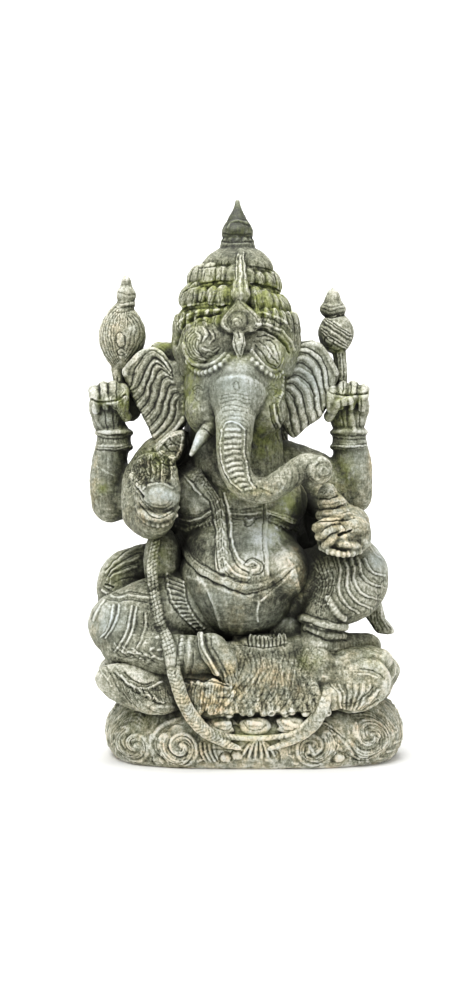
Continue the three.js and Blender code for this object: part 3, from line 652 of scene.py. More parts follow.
def armsBig():
    return [
        bar([[-104, 528, 16], [-176, 494, 16], [-228, 468, 18]], [56, 50, 32], sides=24),
        bar([[-234, 466, 14], [-238, 510, 8], [-226, 590, 0]], [32, 32, 29], sides=24),
        bar([[50, 542, 10], [120, 518, 14], [192, 480, 16]], [46, 46, 32], sides=24),
        bar([[200, 482, 14], [196, 520, 8], [187, 590, 0]], [29, 34, 29], sides=24),
        mass(-196, 652, 10, (24, 18, 40)),
        bar([[-142, 544, -8], [-168, 504, -32], [-172, 454, -70]], [46, 44, 40], sides=24),
        mass(-116, 578, -20, (28, 28, 24)),
        bar([[-172, 452, -70], [-160, 440, -100], [-150, 444, -130]], [38, 34, 30], out=upWay, sides=24),
        bar([[104, 496, 4], [142, 470, -22], [180, 436, -50]], [36, 31, 30], sides=24),
        bar([[190, 432, -50], [186, 424, -90], [172, 420, -120]], [34, 30, 28], out=upWay, sides=24),
    ]


def armsTrims(skin):
    forms = [
        bangle(-226, 581, 0, 29), bangle(187, 582, 0, 29),
        *fist(-236, 642, -2, 35, 4, 1), *fist(186, 642, -2, 38, -4, -1),
        bar(laid(skin, [(-186, 464), (-172, 450), (-150, 443), (-128, 448), (-114, 462)], 4), [4, 7, 8, 7, 4]),
        row(laid(skin, [(-182, 450), (-168, 437), (-150, 430), (-132, 434), (-118, 448)], 3), 12, (4.8, 4.8, 4.2)),
        mass(-155, 522, -122, (40, 20, 36)),
        mass(-150, 481, -138, (39, 25, 31)),
        bar([[-166, 482, -150], [-182, 498, -154], [-193, 518, -154]], [10, 9, 7]),
        turnedSeen(161, -134, routes("0,430 24,434 32,443 33,451 27,459 20,464 0,466")[0], deep=0.95, sides=48),
        turnedSeen(157, -136, routes("0,454 18,458 25,465 26,473 20,480 14,484 0,486")[0], deep=0.95, sides=48),
        turnedSeen(150, -138, routes("0,474 12,478 17,485 16,494 9,502 0,506")[0], deep=0.95, sides=48),
        turnedSeen(172, -132, routes("0,382 30,384 40,396 44,412 44,428 36,438 0,442")[0], deep=0.9),
        mass(192, 427, -140, (32, 30, 20), 0.1),
        mass(208, 412, -134, (18, 26, 26)),
        bar([[166, 438, -160], [148, 434, -168], [130, 427, -162]], [8, 9.5, 8.5], flat=0.9),
        bar([[164, 426, -164], [149, 419, -170], [135, 410, -162]], [8, 9, 8], flat=0.9),
        bar([[163, 413, -164], [155, 405, -168], [146, 396, -162]], [8, 9, 8], flat=0.9),
        mass(182, 397, -150, (28, 24, 11), 0.15),
        row([[140, 392, -152], [158, 383, -168], [182, 379, -170], [206, 385, -154]], 10, (6, 6, 5.5)),
    ]
    for i, tip in enumerate((540, 549, 556, 548)):
        across = -178 + i * 18
        forms.append(bar([[across + 4, 494, -140], [across, 520, -146], [across - 2, tip - 10, -140],
                          [across - 1, tip, -142]], [11, 11, 10, 7]))
    shoulder, shell, shellNeck, bud, budNeck = routes("""
        -154,562 -150,572 -134,588 -112,598 -100,594 -103,568 -113,545 -132,544;
        0,688 10,690 14,702 28,722 38,742 42,762 39,782 28,802 14,818 0,826;
        0,806 16,816 15,826 17,832 16,842 10,852 8,862 4,870 0,873;
        0,732 16,737 27,750 32,768 28,784 17,798 0,802; 0,794 17,799 22,806 23,814 17,822 13,832 8,843 0,851""")
    forms += [
        plate(shoulder, 30, faceDepth(-66)),
        turnedSeen(-212, 0, shell, deep=0.7, rows=40),
        turnedSeen(-205, 0, shellNeck, rows=30),
        turnedSeen(164, 0, bud, rows=30),
        turnedSeen(159, 0, budNeck, rows=30),
        bar([[168, 750, 0], [172, 720, 0], [173, 682, 0]], [12, 11, 12]),
        bar([[-222, 706, 0], [-216, 676, -6]], [10, 9]),
    ]
    return forms


def legsBig():
    return [
        bar([[-50, 285, -40], [-140, 278, -70], [-214, 256, -88]], [72, 66, 57], sides=28),
        bar([[-208, 222, -104], [-135, 204, -134], [-60, 200, -148]], [42, 38, 32], sides=24),
        bar([[-56, 214, -152], [-34, 188, -160], [-24, 160, -162]], [27, 26, 17], sides=20),
        bar([[70, 300, -30], [130, 322, -50]], [62, 70], sides=24),
        mass(180, 338, -66, (76, 72, 76)),
        bar([[184, 314, -92], [152, 282, -106], [138, 248, -108]], [56, 42, 36], sides=24),
        bar([[130, 222, -116], [180, 216, -88], [222, 218, -58]], [30, 26, 23], sides=20),
        bar([[-146, 376, 30], [-206, 338, 30], [-204, 290, 20]], [30, 46, 50], sides=24),
        bar([[226, 310, 24], [230, 288, 22], [238, 268, 20]], [14, 16, 14], sides=16),
        bar([[184, 332, -30], [164, 318, 60], [90, 300, 112]], [64, 66, 66], sides=24),
        bar([[-204, 262, -60], [-184, 268, 56], [-100, 290, 112]], [54, 56, 66], sides=24),
    ]


def legsTrims(skin):
    drop = laid(skin, [(-156, 318), (-152, 292), (-146, 262), (-135, 236), (-127, 205), (-122, 182)], 1)
    left = np.vstack([[[-150, 414, -96], [-156, 384, -112], [-159, 350, -128]], drop, [
        [-116, 156, -182], [-106, 124, -188], [-88, 92, -186], [-64, 66, -180], [-34, 48, -174], [-6, 38, -172]]])
    right = [[151, 156, -140], [148, 130, -172], [138, 100, -182], [120, 74, -176], [92, 54, -172], [64, 43, -170],
             [46, 37, -168]]
    forms = [
        bar(left, [7, 8, 9, 9, 9, 9, 9, 10, 11, 12, 12, 12, 12, 11, 8, 4], flat=0.7),
        bar([(x - 15 + i * 0.4, z - 4, y + 4) for i, (x, z, y) in enumerate(left[3:13])], [3, 5, 6, 6, 6, 5, 3],
            flat=0.9),
        bar(right, [7, 9, 10, 10, 9, 7, 4], flat=0.6),
        mass(-140, 366, -50, (34, 46, 62)),
        bar([[-96, 116, -176], [-70, 80, -176], [-40, 62, -172], [22, 56, -170], [84, 63, -172], [118, 88, -174],
             [136, 118, -174]], [4, 5, 5, 5, 4]),
        bar(laid(skin, [(102, 268), (120, 262), (140, 256), (160, 253), (180, 252)], 0), [7, 8, 7]),
        row(laid(skin, [(112, 250), (132, 242), (156, 236), (178, 235)], 0), 11, (6, 6, 5)),
        row(laid(skin, [(150, 302), (158, 288), (166, 276), (178, 266)], 2), 8, (6, 6, 5)),
        bar([[-74, 238, -172], [-68, 208, -184], [-46, 172, -184]], [6, 7, 6]),
        plate(routes("212,300 236,304 244,288 250,268 266,248 262,239 238,241 226,256 214,276")[0], 34, faceDepth(8)),
    ]
    return forms


def seatBig():
    return [
        turned(seen([12, 0, 20]), routes("0,80 212,90 236,108 254,126 266,150 260,164 240,174 0,188")[0], deep=0.7,
               square=2.7, sides=120),
        mass(-180, 143, -138, (80, 28, 38), 0.3),
        mass(-160, 124, -152, (46, 20, 26), 0.2),
        mass(50, 112, -156, (78, 18, 14)),
        mass(106, 214, -104, (38, 30, 26)),
        mass(-16, 192, -116, (36, 34, 34)),
        mass(-26, 155, -151, (30, 24, 20)),
        mass(80, 236, -80, (44, 26, 40)),
        turned(seen([12, 0, 40]), routes("0,165 202,172 212,188 202,203 150,216 0,220")[0], deep=0.68, square=2.4,
               sides=90),
        mass(-56, 126, -160, (52, 24, 34)),
        mass(-212, 168, -90, (36, 22, 26), 0.5),
        mass(202, 148, -138, (60, 26, 44), -0.35),
        mass(238, 170, -84, (34, 22, 26), -0.5),
        mass(158, 126, -158, (24, 14, 22), 0.3),
        mass(216, 140, -148, (30, 16, 18), -0.6),
        mass(44, 206, -104, (72, 44, 34)),
        mass(182, 186, -96, (82, 52, 32), -0.12),
        mass(52, 150, -128, (80, 44, 60)),
        mass(126, 186, -122, (34, 36, 40)),
    ]


def seatTrims(skin):
    forms = [mass(across, up, -160, (28, 16, 17)) for across, up in ((-38, 78), (22, 78), (84, 80))]
    turn = np.linspace(0.05, 0.95, 60) * math.pi
    middle = seen([12, 0, 20])
    corner = (np.abs(np.cos(turn)) ** 2.7 + np.sin(turn) ** 2.7) ** (-1 / 2.7)
    rim = np.column_stack([middle[0] + np.cos(turn) * corner * 244, middle[1] + np.sin(turn) * corner * 173,
                           np.full(60, 116.0)])
    forms.append(row(rim, 15, (24, 13, 24), outFrom(12, 20, -0.25), uneven=0.08, seed=4, real=True))
    pleats = 16
    for i in range(pleats):
        t = i / (pleats - 1)
        wave = 4 * math.sin(i * 2.4)
        hem = 103 + 4 * t + 5 * math.sin(i * 4.1)
        forms.append(bar([[-12 + 122 * t, 236 - 8 * t, -100], [-12 + 130 * t + wave, 190, -140 - wave * 0.4],
                          [-22 + 150 * t + wave * 0.6, 146, -160], [-36 + 184 * t, hem, -172 + wave * 0.5]],
                         [6, 7, 8, 8], flat=0.8))
    for up, seed in ((150, 4), (136, 9), (122, 6), (108, 3)):
        forms.append(row([[-100, up - 4, -168], [-60, up, -184], [-20, up - 4, -178]], 14, (8, 3, 4), uneven=0.5,
                         seed=seed, lean=0.6 - seed * 0.14))
    forms.append(row([[14, 227, -126], [44, 224, -134], [74, 228, -126]], 9, (11, 4, 3), uneven=0.3))
    return forms


def baseBig():
    levels = "0,-1 238,-1 248,6 255,20 259,36 259,52 252,74 241,91 224,108 0,130"
    return [turned(rimCentre, routes(levels)[0], deep=rimSize["deep"], square=rimSize["square"], sides=140)]


# Reading the finished skin: places, outward ways and edges of a mesh as arrays, in millimetres.
def skinArrays(mesh):
    count = len(mesh.vertices)
    places, ways = np.empty(count * 3, np.float32), np.empty(count * 3, np.float32)
    mesh.vertices.foreach_get("co", places)
    mesh.vertex_normals.foreach_get("vector", ways)
    edges = np.empty(len(mesh.edges) * 2, np.int32)
    mesh.edges.foreach_get("vertices", edges)
    return places.reshape(-1, 3).astype(float) / mm, ways.reshape(-1, 3).astype(float), edges.reshape(-1, 2)


def ramp(values, low, high):
    t = np.clip((values - low) / (high - low), 0, 1)
    return t * t * (3 - 2 * t)


# Soft lumps that are the same each run: a lattice of fixed random numbers, read smoothly between.
def lumps(places, size, seed):
    table = np.random.default_rng(seed).random(4096) * 2 - 1
    p = places / size
    base = np.floor(p).astype(int)
    t = p - base
    t = t * t * (3 - 2 * t)
    total = np.zeros(len(places))
    for step in np.ndindex(2, 2, 2):
        x, y, z = (base + step).T
        cell = (x * 73856093 ^ y * 19349663 ^ z * 83492791) & (len(table) - 1)
        total += table[cell] * np.abs(1 - np.array(step) - t).prod(1)
    return total


hand = {"wander": 1.8, "shake": 0.8}    # how far the carver's lines stray, in mm


frontMap = {"left": -320, "low": -40, "cell": 3.0, "size": (240, 380), "slack": 5.0}


# How open each place lies to the sight point: 1 where nothing hides it and it faces the front, 0 behind others.
def frontShare(places, ways):
    across, up, depth = asSeen(places)
    columns, lines = frontMap["size"]
    column = np.clip(((across - frontMap["left"]) / frontMap["cell"]).astype(int), 0, columns - 1)
    line = np.clip(((up - frontMap["low"]) / frontMap["cell"]).astype(int), 0, lines - 1)
    nearest = np.full(frontMap["size"], 1e9)
    np.minimum.at(nearest, (column, line), depth)
    shown = 1 - ramp(depth - nearest[column, line], frontMap["slack"], frontMap["slack"] + 8)
    facing = ramp(-(ways * unit(places - eye)).sum(1), 0.08, 0.42)
    return across, up, shown * facing


def cut(block, strokes, more=None):
    mesh = block.data
    places, ways, _ = skinArrays(mesh)
    chart = np.zeros(chartSize)
    if strokes:
        strokes(chart)
    across, up, share = frontShare(places, ways)
    strayAcross = hand["wander"] * lumps(places, 15, 31), hand["shake"] * lumps(places, 6, 32)
    strayUp = hand["wander"] * lumps(places, 15, 33), hand["shake"] * lumps(places, 6, 34)
    carved = readChart(chart, across + strayAcross[0] + strayAcross[1], up + strayUp[0] + strayUp[1]) * share
    if more is not None:
        carved += more(places, ways)
    rugged = 1 - 0.75 * np.clip(spots(across, up, polishAndSheenSpots), 0, 1) * share
    rough = (lumps(places, 26, 1) * 0.9 + (lumps(places, 9, 2) * 0.6 + lumps(places, 4.2, 4) * 0.45) * rugged)
    moved = places + ways * (carved + rough)[:, None]
    moved[:, 2] = np.maximum(moved[:, 2], 0)
    mesh.vertices.foreach_set("co", (moved * mm).ravel().astype(np.float32))
    mesh.attributes.new("carved", "FLOAT", "POINT").data.foreach_set("value", carved.astype(np.float32))
    mesh.update()
    return moved


leastCrumb = 60    # corners


# Crumbs that came loose from the stone are taken off.
def dropCrumbs(block):
    places, _, edges = skinArrays(block.data)
    label, settled = np.arange(len(places)), False
    while not settled:
        low = label.copy()
        np.minimum.at(low, edges[:, 0], label[edges[:, 1]])
        np.minimum.at(low, edges[:, 1], label[edges[:, 0]])
        low = low[low]
        settled = np.array_equal(low, label)
        label = low
    crumbs = np.flatnonzero(np.bincount(label, minlength=len(label))[label] < leastCrumb)
    if len(crumbs):
        shape = bmesh.new()
        shape.from_mesh(block.data)
        shape.verts.ensure_lookup_table()
        bmesh.ops.delete(shape, geom=[shape.verts[i] for i in crumbs], context="VERTS")
        shape.to_mesh(block.data)
        shape.free()


def thin(block, most):
    count = sum(len(polygon.vertices) - 2 for polygon in block.data.polygons)
    if count > most:
        fewer = block.modifiers.new("fewer", "DECIMATE")
        fewer.ratio = most / count
        fewer.use_collapse_triangulate = True
        plainMesh(block)
    dropCrumbs(block)


def spotTable(text):
    return [numbers(entry) for entry in text.split(";")]


# Where moss, sandy stain and polish lie, as (across, up, half across, half up, strength) in the front view; polish
# also carries a painted bluish sheen.
mossSpots = spotTable("""
    -60 852 50 10 1.3; 44 846 40 10 1.3; 34 824 16 16 1.2; -90 650 12 50 0.9; 56 660 14 44 0.8; -70 812 46 10
    0.9; 40 812 40 14 0.9; -5 944 24 8 1.1; -10 968 26 30 0.9; 75 752 16 28 1; -96 770 18 26 0.8; -135 752 24 16
    0.8; -60 790 30 8 0.8; 22 826 14 16 1; -45 835 40 14 0.6; -90 690 14 60 0.8; 60 690 16 50 0.6; 85 735 16 20
    0.6; 20 490 44 10 0.5; -12 500 16 18 0.4; 38 590 22 26 0.7; 48 565 34 24 0.5; 190 655 34 14 0.7; 175 620 26
    30 0.5; -205 640 16 40 0.7; -236 648 30 8 0.6; -248 497 9 12 1.2; -155 545 34 26 0.6; 180 520 24 40 0.5; 122
    190 22 16 0.9; 20 60 50 16 0.5; 235 190 30 30 0.4; 60 430 30 40 0.35; 85 470 16 30 0.5; -150 380 20 40 0.4;
    -230 345 20 30 0.4; -195 70 40 30 0.3; -16 722 30 10 0.6; -2 880 70 22 0.35; 160 740 22 8 0.6; -40 590 12 30
    0.5; -40 850 70 30 0.5; 50 835 40 40 0.6; -70 800 50 14 0.8""")
sandSpots = spotTable("""
    -60 130 60 36 0.9; 20 40 290 60 0.55; -40 170 36 34 0.8; 50 150 70 50 0.5; 170 420 60 40 0.75; 160 480 44 40
    0.5; -150 450 50 24 0.6; 200 130 60 40 0.45; -150 520 40 36 0.4; -262 520 8 70 0.7; 226 540 6 60 0.6; -10
    275 14 60 0.5; 100 345 18 60 0.6; -225 760 50 70 0.25; -258 240 18 40 0.4; 30 490 50 14 0.6; -130 575 40 24
    0.4; 210 200 60 30 0.35; 10 330 90 30 0.3""")
polishAndSheenSpots = spotTable("""
    -20 680 66 44 0.9; -15 610 24 30 0.7; -144 482 30 24 0.9; -232 262 34 36 0.8; -60 300 70 40 0.5; 238 372 22
    26 0.9; 115 690 40 44 0.8; -242 630 22 30 0.5; 10 405 50 34 0.6; -78 480 30 24 0.5; 200 550 22 40 0.6; -240
    540 24 50 0.4; 75 475 22 20 0.6; 60 265 50 20 0.5; -80 575 16 26 0.9; -10 960 30 40 0.7; -100 220 60 30 0.3;
    60 415 40 30 0.5""")


# Places where the stone is darker or paler than the rest: some are its own tone, others are painted shade in gaps,
# grooves and under ledges, and painted highlights on bright bulges.
toneAndPaintedShadeSpots = spotTable("""
    -10 965 34 44 -0.56; 104 466 14 42 -0.5; -184 536 24 40 -0.16; -20 900 60 16 -0.14; 40 396 52 36 0.26; 0 262
    90 30 0.08; 40 436 50 20 0.14; -75 802 40 9 -0.2; 56 772 34 9 -0.2; -84 560 16 14 -0.14; 160 452 30 10 0.1;
    161 492 16 10 0.08; -88 480 30 40 0.14; -20 850 90 30 -0.05; -20 808 100 24 -0.08; 110 330 20 60 -0.1; 30
    150 90 60 -0.04; 44 730 30 24 0.06; -68 704 42 8 -0.12; 42 698 30 9 -0.12; 44 228 38 12 -0.14; 60 306 50 40
    -0.1; -70 290 30 40 -0.08; 30 270 80 26 -0.06; -160 660 60 60 -0.05; 200 515 36 60 0.04; -70 750 40 40
    -0.07; -170 130 50 24 -0.12; 60 150 70 50 -0.07; 0 40 290 60 0.06; -180 340 60 60 -0.06; -152 536 46 28
    -0.32; -82 480 30 34 -0.05; 0 262 110 46 -0.04; -84 396 24 26 -0.3; 0 406 18 24 -0.34; 82 408 24 18 -0.14;
    -30 420 12 70 0.18; 46 400 14 60 0.16; 20 356 50 18 0.16; 66 372 26 30 0.14; 190 222 80 22 -0.16; 120 300 30
    50 -0.1; -80 205 40 30 -0.04; -130 300 20 70 -0.05; -215 760 50 60 0.06; -225 262 40 40 0.04; 200 340 50 50
    0.08; -148 482 34 26 0.1; 60 555 60 30 -0.06; 150 780 40 50 -0.14; -205 850 30 30 -0.06; -12 675 60 40 0.06;
    -90 640 30 60 -0.05; 120 680 50 60 0.16; -180 645 20 60 -0.04; -60 130 60 34 0.12; 200 130 50 40 0.1; 0 40
    280 60 0.15; 60 150 60 50 0.06; -135 575 30 24 0.16; -82 575 14 24 0.16; -10 950 36 40 -0.06; -12 860 90 60
    -0.03; -145 474 28 26 -0.06; 112 430 14 50 -0.25; 116 380 12 40 -0.2; 210 340 50 50 -0.04""")
# Weights of the tone: edge wear on ridges together with painted shade in hollows and grooves, painted top light that
# makes upward faces paler and downward faces darker, and painted shade where the stone is hidden.
wearAndShading = {"level": 0.44, "proud": 0.33, "broad": 0.07, "carved": 0.035, "paintedTopLight": 0.13, "open": 0.42}


paleChart = np.zeros(chartSize)
engrave(paleChart, """
    5 / 0.36 / -98,340 -72,331 -57,305 -45,276 -38,249; 9 / 0.3 / 89,355 98,320 106,296; 4 / 0.42 / 40,306
    29,292 25,273 27,262; 3 / 0.3 / -70,330 -40,318 0,304 30,296; 4 / 0.34 / 29,294 50,312 74,334 92,356;
    6 / 0.2 / 60,410 76,384 88,358; 3 / 0.22 / -256,534 -240,524 -226,518; 3 / 0.16 / -236,552 -238,520
    -234,496; 4 / 0.2 / -244,300 -256,282 -263,262; 4 / 0.24 / -229,290 -235,262 -248,236; 4 / 0.24 /
    -196,288 -200,262 -212,226; 4 / 0.22 / -187,288 -192,258 -203,222; 4 / 0.18 / -170,280 -170,250
    -174,220; 4 / 0.3 / 140,800 166,786 190,770; 4 / 0.3 / 138,782 164,768 188,746; 4 / 0.1 / 40,475 42,420
    44,345; 8 / 0.2 / 40,495 60,490 74,500""")


def spots(across, up, marks):
    total = np.zeros(len(across))
    for x, z, halfAcross, halfUp, strength in marks:
        total += strength * np.exp(-((across - x) / halfAcross) ** 2 - ((up - z) / halfUp) ** 2)
    return total


def paint(across, up, places, ways, clear):
    front = ramp(-ways[:, 1], -0.5, 0.2)
    high = places[:, 2]
    patchy = lumps(places, 45, 11) * 0.5 + 0.5
    behindMoss = patchy * (0.35 + 0.4 * ramp(high, 550, 900)) * (1 - clear * 0.6)
    hollow = 0.45 + ramp(clear, 0.97, 0.55)
    moss = (spots(across, up, mossSpots) * front * hollow + behindMoss * (1 - front)
            + 0.34 * patchy * ramp(clear, 0.75, 0.3))
    sand = spots(across, up, sandSpots) * front + (1 - front) * (0.5 * ramp(high, 240, 40)) + 0.1
    polishAndSheen = spots(across, up, polishAndSheenSpots) * front
    # The shade entry adds the tone spots, among them painted shade and painted highlights, and the pale lines and
    # veins of the stone.
    return {"moss": np.clip(moss, 0, 1.2), "sand": np.clip(sand, 0, 1), "polishAndSheen": np.clip(polishAndSheen, 0, 1),
            "shade": (spots(across, up, toneAndPaintedShadeSpots) + readChart(paleChart, across, up)) * front}


# Stone colours from near black to pale for the tone with its painted shade and painted light, moss in painted shade
# and in painted light, sand, rust, the painted polish sheen and the painted shade of hidden places.
stoneLook = {
    "tones": [(0.0, (0.012, 0.012, 0.007)), (0.2, (0.05, 0.052, 0.034)), (0.4, (0.138, 0.143, 0.096)),
              (0.54, (0.232, 0.238, 0.168)), (0.7, (0.40, 0.405, 0.315)), (0.88, (0.66, 0.66, 0.575)),
              (1.0, (0.80, 0.80, 0.73))],
    "moss": (0.040, 0.050, 0.006), "paleMoss": (0.38, 0.42, 0.10), "sand": (1.22, 1.03, 0.76),
    "rust": (1.05, 0.72, 0.44),
    "polishAndSheen": (0.84, 0.93, 1.08), "paintedShadeBlack": (0.010, 0.010, 0.006)}


def makeStone():
    stone.use_nodes = True
    tree = stone.node_tree
    tree.nodes.clear()
    node, link = tree.nodes.new, tree.links.new
    place = node("ShaderNodeTexCoord").outputs["Object"]

    def maths(how, first, second=None, clamp=False):
        step = node("ShaderNodeMath")
        step.operation = how
        step.use_clamp = clamp
        for socket, value in zip(step.inputs, (first, second)):
            if isinstance(value, (int, float)):
                socket.default_value = value
            elif value is not None:
                link(value, socket)
        return step.outputs[0]

    def noise(scale, detail=4.0, rough=0.6, stretch=None):
        texture = node("ShaderNodeTexNoise")
        texture.inputs["Scale"].default_value = scale
        texture.inputs["Detail"].default_value = detail
        texture.inputs["Roughness"].default_value = rough
        if stretch:
            mapping = node("ShaderNodeMapping")
            mapping.inputs["Scale"].default_value = stretch
            link(place, mapping.inputs["Vector"])
            link(mapping.outputs[0], texture.inputs["Vector"])
        else:
            link(place, texture.inputs["Vector"])
        return texture.outputs[0]

    def attribute(name):
        source = node("ShaderNodeAttribute")
        source.attribute_name = name
        return source.outputs["Fac"]

    def mixed(share, first, second, how="MIX"):
        mix = node("ShaderNodeMix")
        mix.data_type, mix.blend_type = "RGBA", how
        for socket, value in ((mix.inputs[0], share), (mix.inputs[6], first), (mix.inputs[7], second)):
            if isinstance(value, tuple):
                socket.default_value = (*value, 1)
            elif isinstance(value, (int, float)):
                socket.default_value = value
            else:
                link(value, socket)
        return mix.outputs[2]

    def stretched(value, low, high):
        reach = node("ShaderNodeMapRange")
        reach.interpolation_type = "SMOOTHSTEP"
        reach.inputs["From Min"].default_value = low
        reach.inputs["From Max"].default_value = high
        link(value, reach.inputs["Value"])
        return reach.outputs[0]

    mottle, speck, grit = noise(38, 6, 0.66), noise(280, 4, 0.75), noise(620, 3, 0.65)
    streak, cloud = noise(230, 3, 0.6, (1.0, 1.0, 0.16)), noise(11, 3, 0.5)
    scratch = noise(210, 3, 0.6, (0.2, 1.0, 1.0))
    # The tone starts from the worn attribute, which holds painted shade and painted top light as well as wear.
    wornAndShaded, clear, polishAndSheen = attribute("wornAndShaded"), attribute("clear"), attribute("polishAndSheen")
    calm = maths("SUBTRACT", 1.0, maths("MULTIPLY", polishAndSheen, 0.5))
    fleck = maths("SUBTRACT", speck, 0.5)
    for marks, amount in ((grit, 0.5), (mottle, 0.5), (streak, 0.6), (scratch, 0.4)):
        fleck = maths("ADD", fleck, maths("MULTIPLY", maths("SUBTRACT", marks, 0.5), amount))
    tone = maths("ADD", wornAndShaded, maths("MULTIPLY", fleck, calm))
    tone = maths("ADD", tone, maths("MULTIPLY", maths("SUBTRACT", cloud, 0.5), 0.3), clamp=True)
    tones = node("ShaderNodeValToRGB")
    steps = tones.color_ramp.elements
    while len(steps) > 1:
        steps.remove(steps[-1])
    (position, colour), *others = stoneLook["tones"]
    steps[0].position, steps[0].color = position, (*colour, 1)
    for position, colour in others:
        steps.new(position).color = (*colour, 1)
    link(tone, tones.inputs[0])
    colour = tones.outputs["Color"]
    # Polished places get a painted bluish sheen in their colour; the lower roughness set further on is the real
    # polish.
    colour = mixed(polishAndSheen, colour, mixed(1.0, colour, stoneLook["polishAndSheen"], "MULTIPLY"))
    sand = maths("MULTIPLY", attribute("sand"), stretched(noise(44, 5, 0.65), 0.38, 0.62), clamp=True)
    colour = mixed(sand, colour, mixed(1.0, colour, stoneLook["sand"], "MULTIPLY"))
    rust = maths("MULTIPLY", attribute("sand"), stretched(noise(26, 5, 0.7), 0.54, 0.70), clamp=True)
    colour = mixed(maths("MULTIPLY", rust, 0.8), colour, mixed(1.0, colour, stoneLook["rust"], "MULTIPLY"))
    moss = maths("MULTIPLY", attribute("moss"), stretched(noise(66, 6, 0.7), 0.36, 0.55), clamp=True)
    # Moss runs from dark green to pale yellow-green with the tone, so it is darker in painted shade and paler in
    # painted light.
    colour = mixed(maths("MULTIPLY", moss, 0.85), colour, mixed(tone, stoneLook["moss"], stoneLook["paleMoss"]))
    # Painted shade: places hidden from the sky and the room are darkened towards near black.
    dark = stretched(clear, 0.56, 0.12)
    colour = mixed(maths("MULTIPLY", dark, 0.9), colour, stoneLook["paintedShadeBlack"])
    shader, bump = node("ShaderNodeBsdfPrincipled"), node("ShaderNodeBump")
    result = node("ShaderNodeOutputMaterial")
    link(colour, shader.inputs["Base Color"])
    link(maths("SUBTRACT", 0.78, maths("MULTIPLY", polishAndSheen, 0.5)), shader.inputs["Roughness"])
    shader.inputs["Specular IOR Level"].default_value = 0.5
    bump.inputs["Distance"].default_value = 0.0012
    link(maths("MULTIPLY", calm, 0.7), bump.inputs["Strength"])
    link(maths("ADD", maths("MULTIPLY", speck, 0.8), maths("MULTIPLY", grit, 0.5)), bump.inputs["Height"])
    link(bump.outputs[0], shader.inputs["Normal"])
    link(shader.outputs[0], result.inputs["Surface"])


